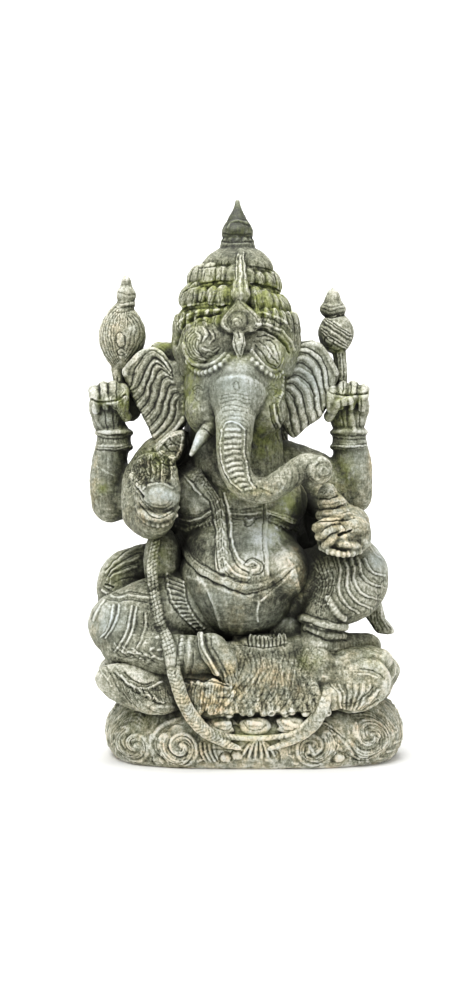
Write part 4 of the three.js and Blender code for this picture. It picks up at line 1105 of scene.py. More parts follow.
def crownStrokes(chart):
    engrave(chart, """
        4 / -3 / -78,884 -50,887 -22,889; 4 / -3 / 14,886 40,882 58,877; chisel -74 800 34 21 88 16 7 -2 2.8
        21 12; chisel 60 796 28 20 88 16 7 -2 2.8 23 12; chisel -54 850 32 30 86 13 7 -1.6 2.6 22 16; chisel 36
        850 24 28 86 13 7 -1.6 2.6 24 16""")
    # Short cuts down each ring of lobes.
    rng = np.random.default_rng(8)
    for left, right, top, low, slope in ((-104, 74, 838, 812, -0.09), (-88, 62, 878, 860, -0.07),
                                         (-66, 46, 894, 884, -0.03)):
        x = left
        while x < right:
            lean, z = (x + 15) * 0.06 + rng.normal(0, 2), slope * (x + 15)
            deep = -rng.uniform(1.0, 3.4)
            line = [(x, top + z + rng.normal(0, 2)), (x + lean * 0.6, (top + low) / 2 + z), (x + lean, low + z)]
            if abs(x + 4) > 20:
                stroke(chart, line, 3.2, deep)
            x += rng.uniform(5, 12)
    # Leaf down the front, with two border ridges and a spine, between the gaps of the tiers.
    engrave(chart, """
        4 7 6 4 / -4.5 / -106,842 -84,852 -52,858 -20,860; 4 7 6 4 / -4.5 / 14,856 40,850 62,845 76,838;
        3.2 / 1.4 / -3,904 -4,838; 3.4 / -3 / -11,904 -14,870 -21,838; 3.4 / -3 / 5,904 6,870 13,838;
        3.6 / 1.2 / -8,908 -11,880 -14,855 -19,836 / copies 2 / 10,0 14,0 20,0 30,0;
        3 / -1.6 / -7.5,900 -10,842 / copies 2 / 7,0 12,0""")
    # Jewel: two lines inside the plate, the rings of its boss, and the drop under it.
    engrave(chart, """
        3 / -1.6 / -8,828 -15,815 -28,801 -33,788 -26,777; 3 / -1.6 / -6,828 2,815 20,800 26,788 18,777; 3 / -1.4 /
        arc -9 786 11 10 190; 3 / -1.2 / arc -9 785 5 0 200; 3 / -1 / arc -8 789 18 0 360; 5 / -3 / -8,772
        -6,762; 3 / -2.5 / -16,766 -13,748 -7,728; 3 / -2.5 / 4,766 1,748 -5,728""")
    # Brow arches: a dark groove under each, a bright ridge over it.
    engrave(chart, """
        8 10 9 8 7 6 / -7 / -118,748 -114,768 -103,785 -88,794 -66,800 -40,803; 5 / 2.6 / -114,786 -100,799
        -80,806 -55,809 -36,810; 4 / 2.4 / -112,815 -90,820 -60,821 -24,820; 5 / -3 / -104,809 -80,813
        -50,814; 6 8 8 8 6 / -6.5 / 22,776 42,772 60,764 74,750 82,734; 5 / 2.6 / 24,786 46,782 66,773 82,756
        90,740; 4 / -2.6 / 26,762 42,764 56,758; 4.5 / 2.2 / 28,804 50,800 72,790 86,774; 4.5 / -2.4 / 28,797
        50,793 70,783""")
    # Hair strands beside the brow.
    engrave(chart, """
        2.8 / -2.2 / -121,815 -122,785 -120,750 / copies 5 / 5,-2 5,0 5,0;
        2.6 / -2 / 84,800 92,776 91,748 / copies 5 / 4.6,-6 3.6,0 3.6,0""")
    # Left rosette: nested curved lines, a scroll head and a leaf drop.
    engrave(chart, """
        3 / -2 / -84,784 -68,790 -50,784 -38,772; 2.6 / -2.1 / -86,778 -100,762 -102,744 -92,726 -78,720 /
        copies 6 / 1.5,-5 4.6,-1 4.6,0 4.6,1.5 3.22,2.4""")
    follow(chart, routes("""
        -82,772 -76,762 -80,750; -70,780 -64,768 -70,756; -58,774 -52,762 -58,750; -72,744 -60,738 -46,742;
        -66,732 -52,732 -40,742; -84,740 -78,728 -66,722"""), "3 7 3 / 1.4 / 0,0; 3 / -1.5 / 5,1")
    # Right rosette: a leaf with an S-line and two ovals, and then the rim of both.
    engrave(chart, """
        3 / -3.6 / 22,748 34,734 44,718 58,710; 3 / -3.4 / 30,754 42,742 52,726 62,716; 3 / -3.4 / 42,757
        54,752 62,738 64,722; 5 / 2 / 40,744 48,736 46,726; 5 / 1.8 / 54,744 58,732;
        3 / -3 / -107,750 -102,730 -89,713 -66,708 -45,715 -30,730;
        3 / -3 / 14,734 24,720 37,705 53,697 66,704 72,720""")
    # Bud on top.
    engrave(chart, """
        2.6 / -1.4 / -30,958 -14,962 6,960 14,954; 2.6 / -1.2 / -26,966 -10,970 8,966; 4 / -2 / -34,944
        -10,940 14,943; 4 / -2.4 / -38,931 -10,928 16,930; 3 / 1.2 / -22,985 -28,960; 4 / 2.2 / -26,952
        -20,961 -6,965 8,962 16,952""")


# Flutes that go all the way round the crown.
def crownRound(places, ways):
    centre = seen([-13, 0, crownSizes["depth"]])
    angle = np.arctan2(places[:, 0] - centre[0], -(places[:, 1] - centre[1]) / crownSizes["deep"])
    high = places[:, 2]
    side = ramp(np.abs(angle), 0.9, 1.3) * ramp(high, 720, 745)
    flutes = np.clip(np.cos(angle * 66), 0, 1)
    return -1.5 * side * flutes * ramp(high, 905, 890) * ramp(np.abs(ways[:, 2]), 0.9, 0.6)


# The ribs of an ear: a groove along each line and a ridge between one line and the next.
def ribs(chart, lines, grooveWidths, grooveDepth, ridgeWidths, ridgeHeight):
    for line in lines:
        stroke(chart, line, grooveWidths, grooveDepth)
    for line, after in zip(lines, lines[1:]):
        stroke(chart, (smoothRoute(line, 14) + smoothRoute(after, 14)) / 2, ridgeWidths, ridgeHeight)


def headStrokes(chart):
    # Left ear: the rim, then one groove between each rib and the next.
    engrave(chart, """
        9 / 3 / -150,570 -134,584 -118,600 -104,618; 5 / -4 / -152,564 -132,578 -112,594 -98,610;
        15 / 2.5 / -208,700 -202,714 -190,728 -176,738 -161,742 -146,738 -135,728""")
    ribs(chart, routes("""
        -200,664 -196,680 -192,698 -184,716 -174,730 -162,738 -150,735 -138,725 -127,711 -123,695; -197,667
        -186,672 -180,682 -175,693 -171,705 -165,717 -156,725 -146,722 -135,711 -127,700; -199,641 -190,649
        -179,658 -172,670 -168,683 -164,696 -160,708 -152,716 -142,711 -132,702; -188,631 -176,637 -168,648
        -164,661 -160,674 -156,687 -151,699 -144,706 -136,702 -128,695; -172,621 -163,629 -156,640 -151,652
        -148,663 -145,675 -141,688 -134,693 -124,689; -163,605 -152,618 -145,630 -141,642 -138,654 -134,667
        -128,677 -118,679; -159,591 -147,602 -139,613 -133,624 -130,637 -127,650 -122,661 -114,664; -156,580
        -144,590 -134,600 -125,611 -119,624 -117,637 -114,650"""), [3, 5, 5, 5, 4], -3.0, [4, 7, 7, 5], 1.4)
    # Right ear: broad smooth ribs with thin dark grooves.
    engrave(chart, """
        9 / 2 / 90,745 108,750 128,750 144,740 156,720 166,698; 4 5 5 3 / 4 / 54,642 58,622 66,598 77,566; 4 /
        -3 / 48,640 52,618 60,594 71,564; 4 / -3.5 / 60,644 64,622 72,598 80,570; 2.5 / -1.8 / 66,640 72,618
        80,592""")
    ribs(chart, routes("""
        88,738 100,743 116,742 131,735 140,724 146,711 150,697 152,684 157,668; 82,712 88,726 100,735 115,732
        127,723 135,713 139,700 142,687 145,673 149,656; 79,701 88,711 100,716 112,713 121,705 126,694 130,682
        133,668 136,653 141,632; 80,690 90,694 101,692 112,685 119,675 124,662 127,648 129,634 133,622; 79,680
        88,680 96,673 103,663 108,649 112,634 115,620 117,608; 76,669 83,664 90,653 95,641 98,627 101,613
        104,598; 62,656 72,651 79,640 83,626 85,610 88,596 92,586"""), [3, 4, 4, 4, 4], -2.8, [6, 10, 10, 9], 1.8)
    # Face: mark on the forehead, small eyes, cheek lines and the wrinkles over the trunk.
    engrave(chart, """
        2.4 / -1.4 / -12,684 -17,676 -12,669 -7,676 / closed; 2 / -1.2 / -12,690 -12,684; 2.6 / -1.8 / arc -79
        668 9 20 250; 3 / -1.8 / -86,668 -78,672 -70,668; 2.4 / -1.2 / -84,654 -76,646 -70,636; 2.6 / -1.8 /
        arc 52 668 9 -70 160; 3 / -1.8 / 44,668 52,672 60,668""")
    for up, wide in ((661, 24), (655, 26), (648, 26), (641, 24), (633, 22)):
        stroke(chart, [(-14 - wide, up - 3), (-14, up + 1.5), (-14 + wide, up - 3)], 2.6, -1.3)
    engrave(chart, """
        2.4 / -1 / -36,616 -26,623 -14,625 -2,623 8,616 / copies 3 / 0,-7;
        2.2 / -0.7 / -36,702 -48,686 -52,668 / copies 4 / -9,-2 -9,-3 -8,-3;
        2.2 / -0.7 / 8,702 20,686 24,668 / copies 4 / 9,-2 9,-3 8,-3""")
    # Trunk: a border ridge each side of the ladder of cross ridges.
    engrave(chart, """
        3.4 / 1.8 / -36,598 -30,608 -18,613 -6,608 2,598; 2.4 / -2.6 / 30,497 40,492 50,488; 8 / 1.3 / arc 142
        528 20 0 360; 3 / -1.1 / arc 142 529 13 20 330; 4 / 0.7 / 134,524 142,534 150,528; 3 / -2 / arc 139
        526 27 150 330""")
    left, right = routes("""
        -33,598 -34,575 -33,552 -27,530 -15,508 0,494; -2,598 -2,575 -1,552 3,530 9,508 18,496""")
    follow(chart, [left], "3.4 / 1.8 / -4,0; 3 / -1.8 / -8,0")
    follow(chart, [right], "3.4 / 1.8 / 4,0; 3 / -1.8 / 9,0")
    for one, two in zip(smoothRoute(left, 12), smoothRoute(right, 12)):
        a, b = one + (1.5, 0), two - (1, 0)
        stroke(chart, [a + (2, 0), (a + b) / 2 + (0, 1.5), b - (3, 0)], [5, 6.5, 5], 1.2)
        stroke(chart, [a + (1, -4.5), (a + b) / 2 + (0.5, -3.5), b + (0, -4.5)], 2.8, -1.6)
        for side in (a - (4.5, 2), b + (4.5, 2)):
            stroke(chart, [side - (1, 0), side + (1, 0)], 3, 1.2)
    # Rings of the trunk's end, then the folds at the root of the tusk.
    engrave(chart, """
        2.6 / -1.1 / 21,476 26,490 22,508 / copies 9 / 10.5,3.4 10.5,3.6 10.5,3.2;
        2.4 / -1.6 / -86,602 -70,602 -56,592 / copies 3 / 3,-2 3,-2 2,-3""")


# Rows of short chisel marks that lean along "way" degrees inside an oval, the same each run.
def chisel(chart, across, up, halfAcross, halfUp, way, length, gap, depth, width=2.4, seed=5, swing=18):
    rng = np.random.default_rng(int(seed))
    for dz in np.arange(-halfUp, halfUp, gap * 1.5):
        for dx in np.arange(-halfAcross, halfAcross, gap):
            x, z = dx + rng.normal(0, gap * 0.3), dz + rng.normal(0, gap * 0.3)
            angle = math.radians(way + rng.normal(0, swing))
            if (x / halfAcross) ** 2 + (z / halfUp) ** 2 > 1:
                continue
            half = length * rng.uniform(0.6, 1.2) / 2
            step = np.array([math.cos(angle), math.sin(angle)]) * half
            bend = np.array([-step[1], step[0]]) * rng.normal(0, 0.15)
            middle = np.array([across + x, up + z])
            stroke(chart, [middle - step, middle + bend, middle + step], [width * 0.6, width, width * 0.6],
                   depth * rng.uniform(0.6, 1.2))


def torsoStrokes(chart):
    # Sash from the neck down to the navel.
    engrave(chart, """
        4 5 5 4 4 / -3.1 / -117,540 -105,523 -94,511 -82,497 -70,483 -59,472 -54,455 -50,430 -48,400 -45,372
        -42,350; 6 / 2.4 / -114,534 -101,517 -88,501 -74,486; 4.5 / -2.6 / -38,488 -32,470 -28,450 -26,425
        -23,400 -20,380 -12,363 0,352 10,347; 5 / 2.2 / -32,486 -26,468 -22,448 -20,424 -17,400 -13,382 -5,369
        6,362; 2.8 / -1.8 / -78,500 -58,474 -50,448 -46,420 -44,385 -40,352 / within 3 / -44,492 -36,468
        -32,445 -30,420 -28,388 -24,362; 4 / 1.6 / -46,470 -40,476 -34,466 / copies 7 / 0.8,-17 1,-17 1,-17""")
    # Breasts: a double band under each, pearls, small leaves.
    engrave(chart, """
        3.4 / 1.8 / -114,444 -98,438 -82,441 -56,455; 3 / -1.6 / -112,452 -84,448 -58,461; 3 / -2.4 / -112,437
        -84,432 -56,446; 3 / -2 / 44,455 62,448 80,443 98,434; 3.6 / 1.8 / 46,449 64,441 82,436 98,428; 3 /
        -2.2 / 48,443 66,435 98,420; 4 / 2 / -82,428 -77,434 -74,426 / copies 5 / 7,1.5;
        3.4 / 1.4 / 54,432 60,426 66,430 / copies 6 / 8,-2""")
    # Down the middle: the cord, the buckle and the navel curl.
    engrave(chart, """
        3 / -2.4 / 37,472 37,440 36,400 38,365 40,342; 4 / 1.1 / 43,468 43,440 42,400 44,365 46,344; 3 / -2.4 /
        -24,446 -10,442 10,441 34,444; 4 / 1.8 / -22,452 0,450 32,452; 3 / -2 / -24,460 0,459 34,462; 3 / -2.8
        / 3,438 8,431 16,431 22,438; 5 / 2.6 / 5,442 12,438 20,442; 4 / -2.8 / 2,362 8,370 20,373 32,367
        38,356 32,346 18,343; 5 / 2.4 / 8,361 18,366 28,360 26,352 16,351; 3 / -2.4 / 6,359 14,357 24,359; 5 /
        2 / -28,362 -16,348 -2,341 12,338; 3 / -2 / -32,352 -20,338 -4,332 10,330""")
    # Belt over the belly: a cord laid between two grooves.
    engrave(chart, """
        4 / -4 / -119,405 -108,384 -94,362 -78,346 -58,333 -30,321 0,310 26,312; 3 / -2.4 / -110,416 -98,394
        -84,372 -62,356 -36,343 -10,337; 3.2 / -2.4 / 26,312 50,322 72,338 92,356; 2.4 / -1.2 / -112,408
        -98,384 -82,364 -58,346 -28,334 0,324 / fan 2 / -108,414 -94,391 -78,371 -54,353 -26,342 0,332""")
    # Veins in the belly stone.
    engrave(chart, """
        2.6 / 0.9 / -60,312 -52,288 -44,264 -40,250; 3 / 0.9 / 88,362 96,334 102,302; 3 / 1 / 28,304 26,284
        27,262; 3 / 0.9 / 60,404 74,384 84,362; 2.4 / -1.4 / 90,352 70,332 48,314 34,300; 14 18 18 14 / -6 /
        106,520 110,486 114,450 120,404; chisel 12 328 34 18 70 8 4.5 -1.5; chisel -10 280 96 40 75 9 8 -0.8
        2.2 31 30; chisel 66 398 26 26 115 9 6 -1""")
    # Collar and chest beside the trunk.
    engrave(chart, """
        chisel -66 520 32 26 40 8 5 -2.2 3 5 40; chisel 44 566 46 50 100 12 6 -3.2 3.2 5 40; chisel 92 540 40
        26 20 11 7 -1.8 3 8 40; 3 / -2.2 / -66,524 -66,544 -62,548 -58,544 -58,524 / copies 2 / 12,-2;
        2.6 / -2 / arc -96 540 5 20 300 / copies 6 / 8 -7 0 0 0;
        2.6 / -1.3 / arc 22 556 10 -20 100 / copies 4 / 0 0 6 0 0""")


def armsStrokes(chart):
    # Closed hands: gaps between fingers, knuckles and the back of the hand.
    engrave(chart, """
        6 / -4 / -268,652 -248,646 -224,650 -206,660; 8 / 2 / -262,640 -256,618 -250,602; 4 / -2 / -244,638
        -240,616 -238,600; 4 / -2 / -228,636 -226,614 -226,600; chisel -216 636 16 34 65 12 6 -2 3; 6 / -4 /
        166,662 184,660 204,661 220,663; 5 / -2.6 / 172,650 174,625 178,604; 9 / 2.2 / 190,652 192,628
        196,600; 4 / -2 / 184,650 184,626 186,602; 4 / -2.2 / 208,652 208,630 206,606; 3.4 / -2.4 / arc 160
        672 9 60 330; 4 / -3.4 / -253,690 -253,672 -251,652 / copies 3 / 15.5,0;
        4 / -3.2 / 176,692 177,676 176,662 / copies 3 / 13.5,0""")
    # Wrist bands.
    for left, right, ups in ((-258, -194, (594, 588, 572, 567)), (156, 219, (592, 586, 576, 570))):
        for up in ups:
            stroke(chart, [(left, up - 2), ((left + right) / 2, up - 5), (right, up - 1)], 3, -2.0)
    engrave(chart, "2.2 / -1 / -256,584 -254,575 / copies 14 / 4.6,0")
    # Open palm.
    engrave(chart, """
        5 / 1.6 / -174,494 -160,502 -140,503 -122,496; 3 / -1.6 / arc -146 486 30 200 320 0.9; 2.6 / -1.3 /
        arc -146 482 22 210 330 0.8; 6 / -4.5 / -192,500 -182,490 -174,480; 3.4 / -2.8 / -182,470 -166,451
        -144,443 -122,455; 3 / -2 / -180,478 -162,457 -142,450 -124,460; chisel -156 532 44 28 80 9 4.6 -3 3.2
        5 40; chisel -128 572 26 26 130 12 6 -2.2 3 5 40; chisel -186 530 24 46 70 11 5.5 -2.6 3 5 30; chisel
        -60 548 34 34 100 11 6 -2.4 3 9 40; 6 / -5.5 / -163,512 -162,528 -163,546 / copies 3 / 16,0""")
    # Shoulder plate with leaf cuts.
    engrave(chart, """
        5 / -4.5 / -158,566 -150,546 -132,538 -112,540 -98,560 -96,592; 3.4 / 2.4 / -148,562 -132,582 -114,590
        -106,586 -110,566 -118,550 -134,552 / closed; 2.6 / -1.6 / arc -130 552 8 0 360; 3 / -2.4 / -98,598
        -92,580 -84,566; 3 / -2.6 / -140,572 -126,560 -112,562; 3 / -2.6 / -128,586 -122,574 -108,572;
        3 / -2.6 / -146,560 -136,556""")
    # Sweets in the bowl and the hand round it.
    engrave(chart, """
        chisel 158 488 22 10 30 8 5 -1.5; 3 / -2.6 / 172,436 180,426 184,418; 8 7 4 / -9 / 170,414 180,417
        192,421; chisel 200 420 14 22 60 8 6 -1; 4.2 / -3.6 / 132,478 152,478 172,484; 4.2 / -3.6 / 128,459
        157,460 186,467; 4.2 / -3.6 / 128,437 162,438 196,445; 2.6 / -1.8 / 138,488 151,488 164,492; 2.6 /
        -1.8 / 134,466 157,468 180,474; 2.6 / -1.8 / 132,446 162,449 192,456; 3.2 / -2.6 / 172,434 156,430
        138,419; 3.2 / -2.6 / 170,420 158,414 142,402""")
    # Shell: lines that run with its outline, a fringe, a boss, a curl, and rings and cuts on its neck.
    stroke(chart, coil(-213, 734, 9, 60, 1.1), 3.4, -2.2)
    engrave(chart, """
        3.4 / -2.6 / arc -214 757 9 0 360 1.5; 3 / -1.8 / -222,842 -205,836 -189,836; 2.6 / -1.9 / -226,818
        -243,800 -250,770 -246,740 -228,712 / fan 6 / -212,806 -222,792 -226,768 -224,745 -216,722; 2.6 /
        -1.9 / -190,800 -178,786 -174,764 -186,738 -206,716 / fan 4 / -204,798 -196,784 -196,764 -202,744
        -210,728; 2.4 / -1.7 / -229,806 -228,792 -224,779 / copies 8 / 4.2,0 3.8,0 3,0; 3 / -2 / -224,823
        -208,821 -190,826; 3 / -2 / -224,815 -208,813 -190,818 / copies 2 / 0,-7; 2.4 / -0.7 / -212,854
        -213,850; 2.4 / -0.7 / -206,860 -207,850; 2.4 / -0.7 / -200,858 -201,850""")
    # Bud: two slanting double bands, a small ball, rings at the neck and flutes on the stem.
    engrave(chart, """
        3 / -2.6 / arc 152 754 9 0 360; 10 / 2.2 / 150,754 154,754; 5 / -3.4 / 142,800 160,797 178,801; 4 / -3
        / 148,742 162,737 180,741; 3 / -1.8 / 138,818 158,815 180,820 / copies 3 / 0,-7;
        3 / -2.2 / 164,734 165,712 165,692 / copies 3 / 6,0""")
    follow(chart, routes("144,796 168,778 192,766; 140,778 164,758 188,744"),
           "3 / 1.9 / 0,0; 3 / 1.9 / 0,-6; 2.6 / -1.8 / 0,-3; 3 / -2 / 0,2; 3 / -2 / 0,-11")
    # Scars and faint lines on the forearms.
    engrave(chart, """
        2 / 0.5 / -256,534 -240,524 -226,518; 2 / 0.4 / -236,552 -238,520 -234,496; chisel 178 500 18 40 50 7
        6 -0.7""")


# Arrow marks, one after the other along a scarf.
def plaits(chart, route, count, reach, height):
    route = smoothRoute(route, count)
    for i in range(count):
        way = unit(route[min(i + 1, count - 1)] - route[max(i - 1, 0)])
        side = np.array([-way[1], way[0]])
        back = route[i] - way * 5
        stroke(chart, [back + side * reach, route[i] + way * 2, back - side * reach], 2.8, height)


def legsStrokes(chart):
    # Left knee: pairs of raised lines that hang round it.
    engrave(chart, """
        5 / 2.4 / -246,316 -224,304 -196,306 -166,302; 3 / -2.8 / -244,322 -222,311 -194,313 -164,309; 3 /
        -1.8 / -240,302 -222,298 -194,299 -168,296; 3.4 / -2 / -226,330 -206,338 -184,336 -164,330""")
    follow(chart, routes("""
        -243,300 -254,282 -262,264; -226,290 -231,264 -239,246 -250,234; -217,292 -222,266 -230,248 -242,232;
        -196,288 -199,264 -203,244 -213,224 -226,208; -187,287 -190,264 -194,244 -203,224 -212,208; -170,276
        -172,250 -178,228 -186,212"""), "4 / 1.6 / 0,0; 2.4 / -1.1 / -4,0; 2.4 / -1.1 / 4,0")
    # Cloth behind the knee, then the lower folds and pearls of the thigh cloth.
    engrave(chart, """
        5 / -6 / -240,326 -228,322; 3 / -2 / -224,346 -212,352 -198,356;
        4 / -2.4 / -172,402 -198,388 -222,372 -242,352 / copies 3 / -6,-18 -6,-16 -4,-14 4,-12;
        5 / 2 / -175,393 -201,380 -224,365 -240,346 / copies 3 / -6,-18 -6,-16 -4,-14 4,-12;
        chisel -196 190 40 10 20 10 6 -1.4; chisel -160 262 12 34 80 9 5 -1.6;
        3 / -1.8 / -232,214 -214,200 -196,200 / copies 5 / 16,-4 15,-3 13,-3;
        4 / 1.6 / -226,222 -210,208 -192,208 / copies 5 / 16,-4 15,-3 13,-3""")
    for x, z in ((-150, 232), (-160, 213), (-147, 210), (-165, 190), (-156, 198), (-172, 204)):
        stroke(chart, [(x - 2, z), (x + 2, z + 1)], 6, 2.0)
    # The hanging scarf: slanting cuts and two grooves down the fall, plaits where it swings in at the foot.
    upper = smoothRoute(routes("-151,412 -157,384 -160,350 -157,318 -153,292 -147,262 -136,236 -127,205")[0], 30)
    for place in upper:
        stroke(chart, [place + (-9, -4), place, place + (9, 5)], 2.8, -2.0)
    follow(chart, [upper], "2.6 / -1.6 / -3,0; 2.6 / -1.6 / 4,0")
    left, right = routes("""
        -124,176 -112,140 -100,112 -84,84 -64,66 -36,54 -8,49; 147,156 144,130 138,108 124,84 100,66 64,54 28,50""")
    plaits(chart, left, 28, 10, -1.6)
    plaits(chart, right, 16, 9, -1.2)
    # Ladder straps that cross towards the shin.
    engrave(chart, "chisel -104 270 14 34 60 9 6 -1.4")
    first, last = routes("-134,345 -128,312 -118,288 -98,264 -78,244; -104,330 -102,306 -96,288 -84,268 -68,250")
    fan(stroke, chart, first, last, 2, 3.0, 1.6)
    fan(stroke, chart, first - (4, 2), last + (4, 2), 2, 3, -2.2)
    for one, two in zip(smoothRoute(first, 13), smoothRoute(last, 13)):
        stroke(chart, [one, (one + two) / 2 + (1, 1), two], 4.5, 1.6)
        stroke(chart, [one - (1, 5), (one + two) / 2 - (0, 4), two - (-1, 5)], 3, -1.8)
    # Bands down the shin, and the anklet beside the foot and its toes.
    engrave(chart, "6 / -6 / -100,164 -82,164 -62,159 -44,157; 3 / -1.6 / -112,232 -106,233 / copies 9 / 0,-8")
    follow(chart, routes("5,238 2,210 0,186 -2,168"),
           "3 / -1.8 / -116,0; 6 / 1.2 / -111,0; 3 / -1.6 / -104,0; 7 / 1 / -97,0; 3 / -1.8 / -89,0")
    follow(chart, routes("-72,242 -70,218 -56,192 -42,165"),
           "5 / 1.4 / 0,0; 3 / -1.8 / 5,0; 3 / -1.8 / -5,0; 6 / 1.2 / 11,0; 3 / -1.8 / 17,0")
    engrave(chart, "3.4 / -2.6 / -38,176 -35,160 -32,148 / copies 4 / 8,-1 8,0 8,0")
    # Right knee: long fold lines that curl round it.
    engrave(chart, """
        3 / 1.2 / 216,404 226,390 238,376 253,366; 2.4 / -1 / 226,404 236,390 248,378;
        2.6 / -1.5 / 228,338 242,330 251,334 / copies 3 / 2,-12 -1,-11 -4,-12""")
    follow(chart, routes("""
        168,374 172,350 170,326 174,304 186,288 204,277; 180,376 185,352 184,328 190,308 205,294 226,284;
        191,377 196,354 197,334 206,316 224,304 243,300; 202,376 208,356 212,340 226,328 248,322; 214,372
        222,356 234,346 252,342"""), "4.4 / 1.6 / 0,0; 3 / -1.8 / -5,-1; 2.4 / -1 / 4.5,1")
    # Cloth between the knee and the belly.
    engrave(chart, """
        chisel 138 320 22 50 60 10 6 -1.8 3; 3.2 / -1.8 / 122,376 134,350 140,322 134,296 128,274 / fan 5 /
        158,372 164,344 160,318 150,300 142,280; 4 / 1 / 126,356 140,346 156,352 / copies 5 / 1,-15 0,-14
        -1,-15""")
    # Cloth tail under the right knee.
    engrave(chart, """
        3 / -2.6 / 104,278 130,268 158,262 184,257; 3.4 / -3.4 / 104,262 130,252 158,244 184,242; 4 / -3.4 /
        108,246 130,236 156,228 182,228; 2.8 / -2 / 224,284 226,266 232,246 / fan 5 / 246,290 250,266
        262,248; 2.6 / -0.9 / 120,214 146,208 176,210 / copies 3 / 26,-2 26,-2 22,0;
        3 / -1.6 / 212,214 220,208 226,204 / copies 3 / 10,0""")


def seatStrokes(chart):
    # Fringe under the belly.
    engrave(chart, "4 / -3 / 4,220 40,216 80,222; 3.6 / -4.6 / 9,244 10,218 / copies 10 / 7.2,0")
    # Pleated apron.
    engrave(chart, """
        chisel 50 166 76 54 95 24 6 -0.9 2.6 12 12; chisel 50 118 92 26 90 13 5 -1.3 2.6 13 30; chisel 120 186
        24 34 70 9 5 -1.6 3 14 50; chisel -14 200 22 34 110 10 5 -1.4 2.8 15 40; 4 / -2 / -28,98 10,94 60,96
        118,104; 4 / -1.2 / 8,206 16,176 -10,142 -44,108 / fan 11 / 116,210 104,172 112,138 96,106;
        2.8 / -2 / -14,112 -13,100 / copies 18 / 8,0.4 8,0.5;
        3 / -1.6 / arc 0 124 8 200 340 / copies 5 / 24 2 0 0 0""")
    for x, z, reach in ((4, 196, 40), (34, 204, 60), (66, 200, 70), (92, 190, 60), (-10, 170, 44)):
        stroke(chart, [(x, z), (x - 4, z - reach * 0.5), (x - 14, z - reach)], 3, -2.0)
    # Curled leaf edges along the left petal.
    for i in range(6):
        x, z = -226 + i * 13, 150 - i * 8 + (i - 2.5) ** 2 * 0.8
        stroke(chart, [(x, z + 16), (x + 8, z + 4), (x + 20, z)], 3, -2.8)
        stroke(chart, [(x + 4, z + 18), (x + 12, z + 8), (x + 24, z + 4)], 4, 2.2)
    # Textured cushion beside the foot.
    engrave(chart, """
        chisel -60 128 44 32 60 9 5 -1.1 2.8 5 50; 4 / -4 / -100,160 -70,158 -44,154 -24,146;
        3 / -1.8 / -98,152 -104,132 -98,108 / fan 13 / -32,146 -34,124 -46,100""")
    # Left petals.
    engrave(chart, """
        5 / 3 / -212,164 -200,152 -180,144 -158,147 -142,156; 4 / -3 / -206,170 -194,160 -176,152 -156,155;
        chisel -170 128 46 22 150 10 6 -1.6 2.6 5 30; 3 / -1.6 / arc -140 109 24 20 340 0.42; 7 / 1.2 /
        -156,110 -140,112 -122,110; 3 / -2.2 / -244,190 -236,176 -226,156 -216,138; 3 / 1.4 / -250,180
        -242,164 -230,148; 2.8 / -1.8 / -218,158 -212,138 -196,116 / fan 16 / -150,146 -146,132 -140,122;
        2.4 / -2 / -164,140 -160,130 -158,122 / fan 8 / -132,142 -130,132 -128,124""")
    # Lower small petals with a rolled tip each, and the deep gaps between them.
    for x, way in ((-34, 1), (22, 0), (84, -1)):
        stroke(chart, [(x - 22, 84), (x - 10, 72 + way * 2), (x + 6, 69), (x + 20, 78)], 3, -1.8)
        stroke(chart, [(x - 12, 84 - way * 3), (x + 10, 80 + way * 3)], 8, 2.0)
    engrave(chart, "10 / -9 / -18,90 -14,78 -10,70 / copies 2 / 70,6")
    # Right fluted petal.
    engrave(chart, """
        5 10 9 5 / 3 / 172,110 198,110 222,122 240,142; 3 / -2.4 / 170,118 196,118 216,130 230,146; 4 / -4 /
        150,100 180,97 210,104 240,122; 3.4 / -2.4 / 206,178 224,176 240,170 250,160; 3.4 / 1.8 / 204,168
        220,168 236,162; chisel 170 170 44 18 100 8 6 -1.2; chisel 122 140 20 30 60 8 5 -1.4;
        3.2 / -1.8 / 154,152 166,136 168,112 / fan 7 / 232,150 226,132 206,108;
        4 / 1 / 158,150 170,134 172,112 / fan 6 / 226,150 220,132 202,108;
        2.8 / -1.6 / arc 118 124 10 60 300 / copies 3 / 5 8 0 0 0""")


# The base is carved on a strip that runs right round it: distance along its rim from the middle of the front.
rimSize = {"across": 20, "depth": 20, "half": 256, "deep": 0.72, "square": 2.9}


rimCentre = seen([rimSize["across"], 0, rimSize["depth"]])


# Directions, places and distances along the rim.
def rimTable():
    turn = np.linspace(-math.pi, math.pi, 1441)
    x, y = np.sin(turn), -np.cos(turn)
    corner = (np.abs(x) ** rimSize["square"] + np.abs(y) ** rimSize["square"]) ** (-1 / rimSize["square"])
    ring = np.column_stack([rimCentre[0] + x * corner * rimSize["half"],
                            rimCentre[1] + y * corner * rimSize["half"] * rimSize["deep"]])
    length = np.concatenate([[0], np.cumsum(np.linalg.norm(np.diff(ring, axis=0), axis=1))])
    return turn, ring, length - np.interp(0, turn, length)


rimTurn, rimRing, rimLength = rimTable()


def rimAngle(places):
    return np.arctan2(places[:, 0] - rimCentre[0], -(places[:, 1] - rimCentre[1]) / rimSize["deep"])


def rimPlace(places):
    return np.interp(rimAngle(places), rimAngle(rimRing), rimLength)


# A place on the photographed front of the base, as distance round the rim and true height.
def onRim(points):
    front = np.abs(rimTurn) < 1.75
    across, _, depth = asSeen(np.column_stack([rimRing[front], np.zeros(front.sum())]))
    order = np.argsort(across)
    points = np.asarray(points, float)
    along = np.interp(points[:, 0], across[order], rimLength[front][order])
    near = (sight["distance"] + np.interp(points[:, 0], across[order], depth[order])) / sight["distance"]
    return np.column_stack([along, sight["up"] + (points[:, 1] - sight["seenUp"]) * near])


stripCorner = (-840, -20)
stripSize = (170, 1680)


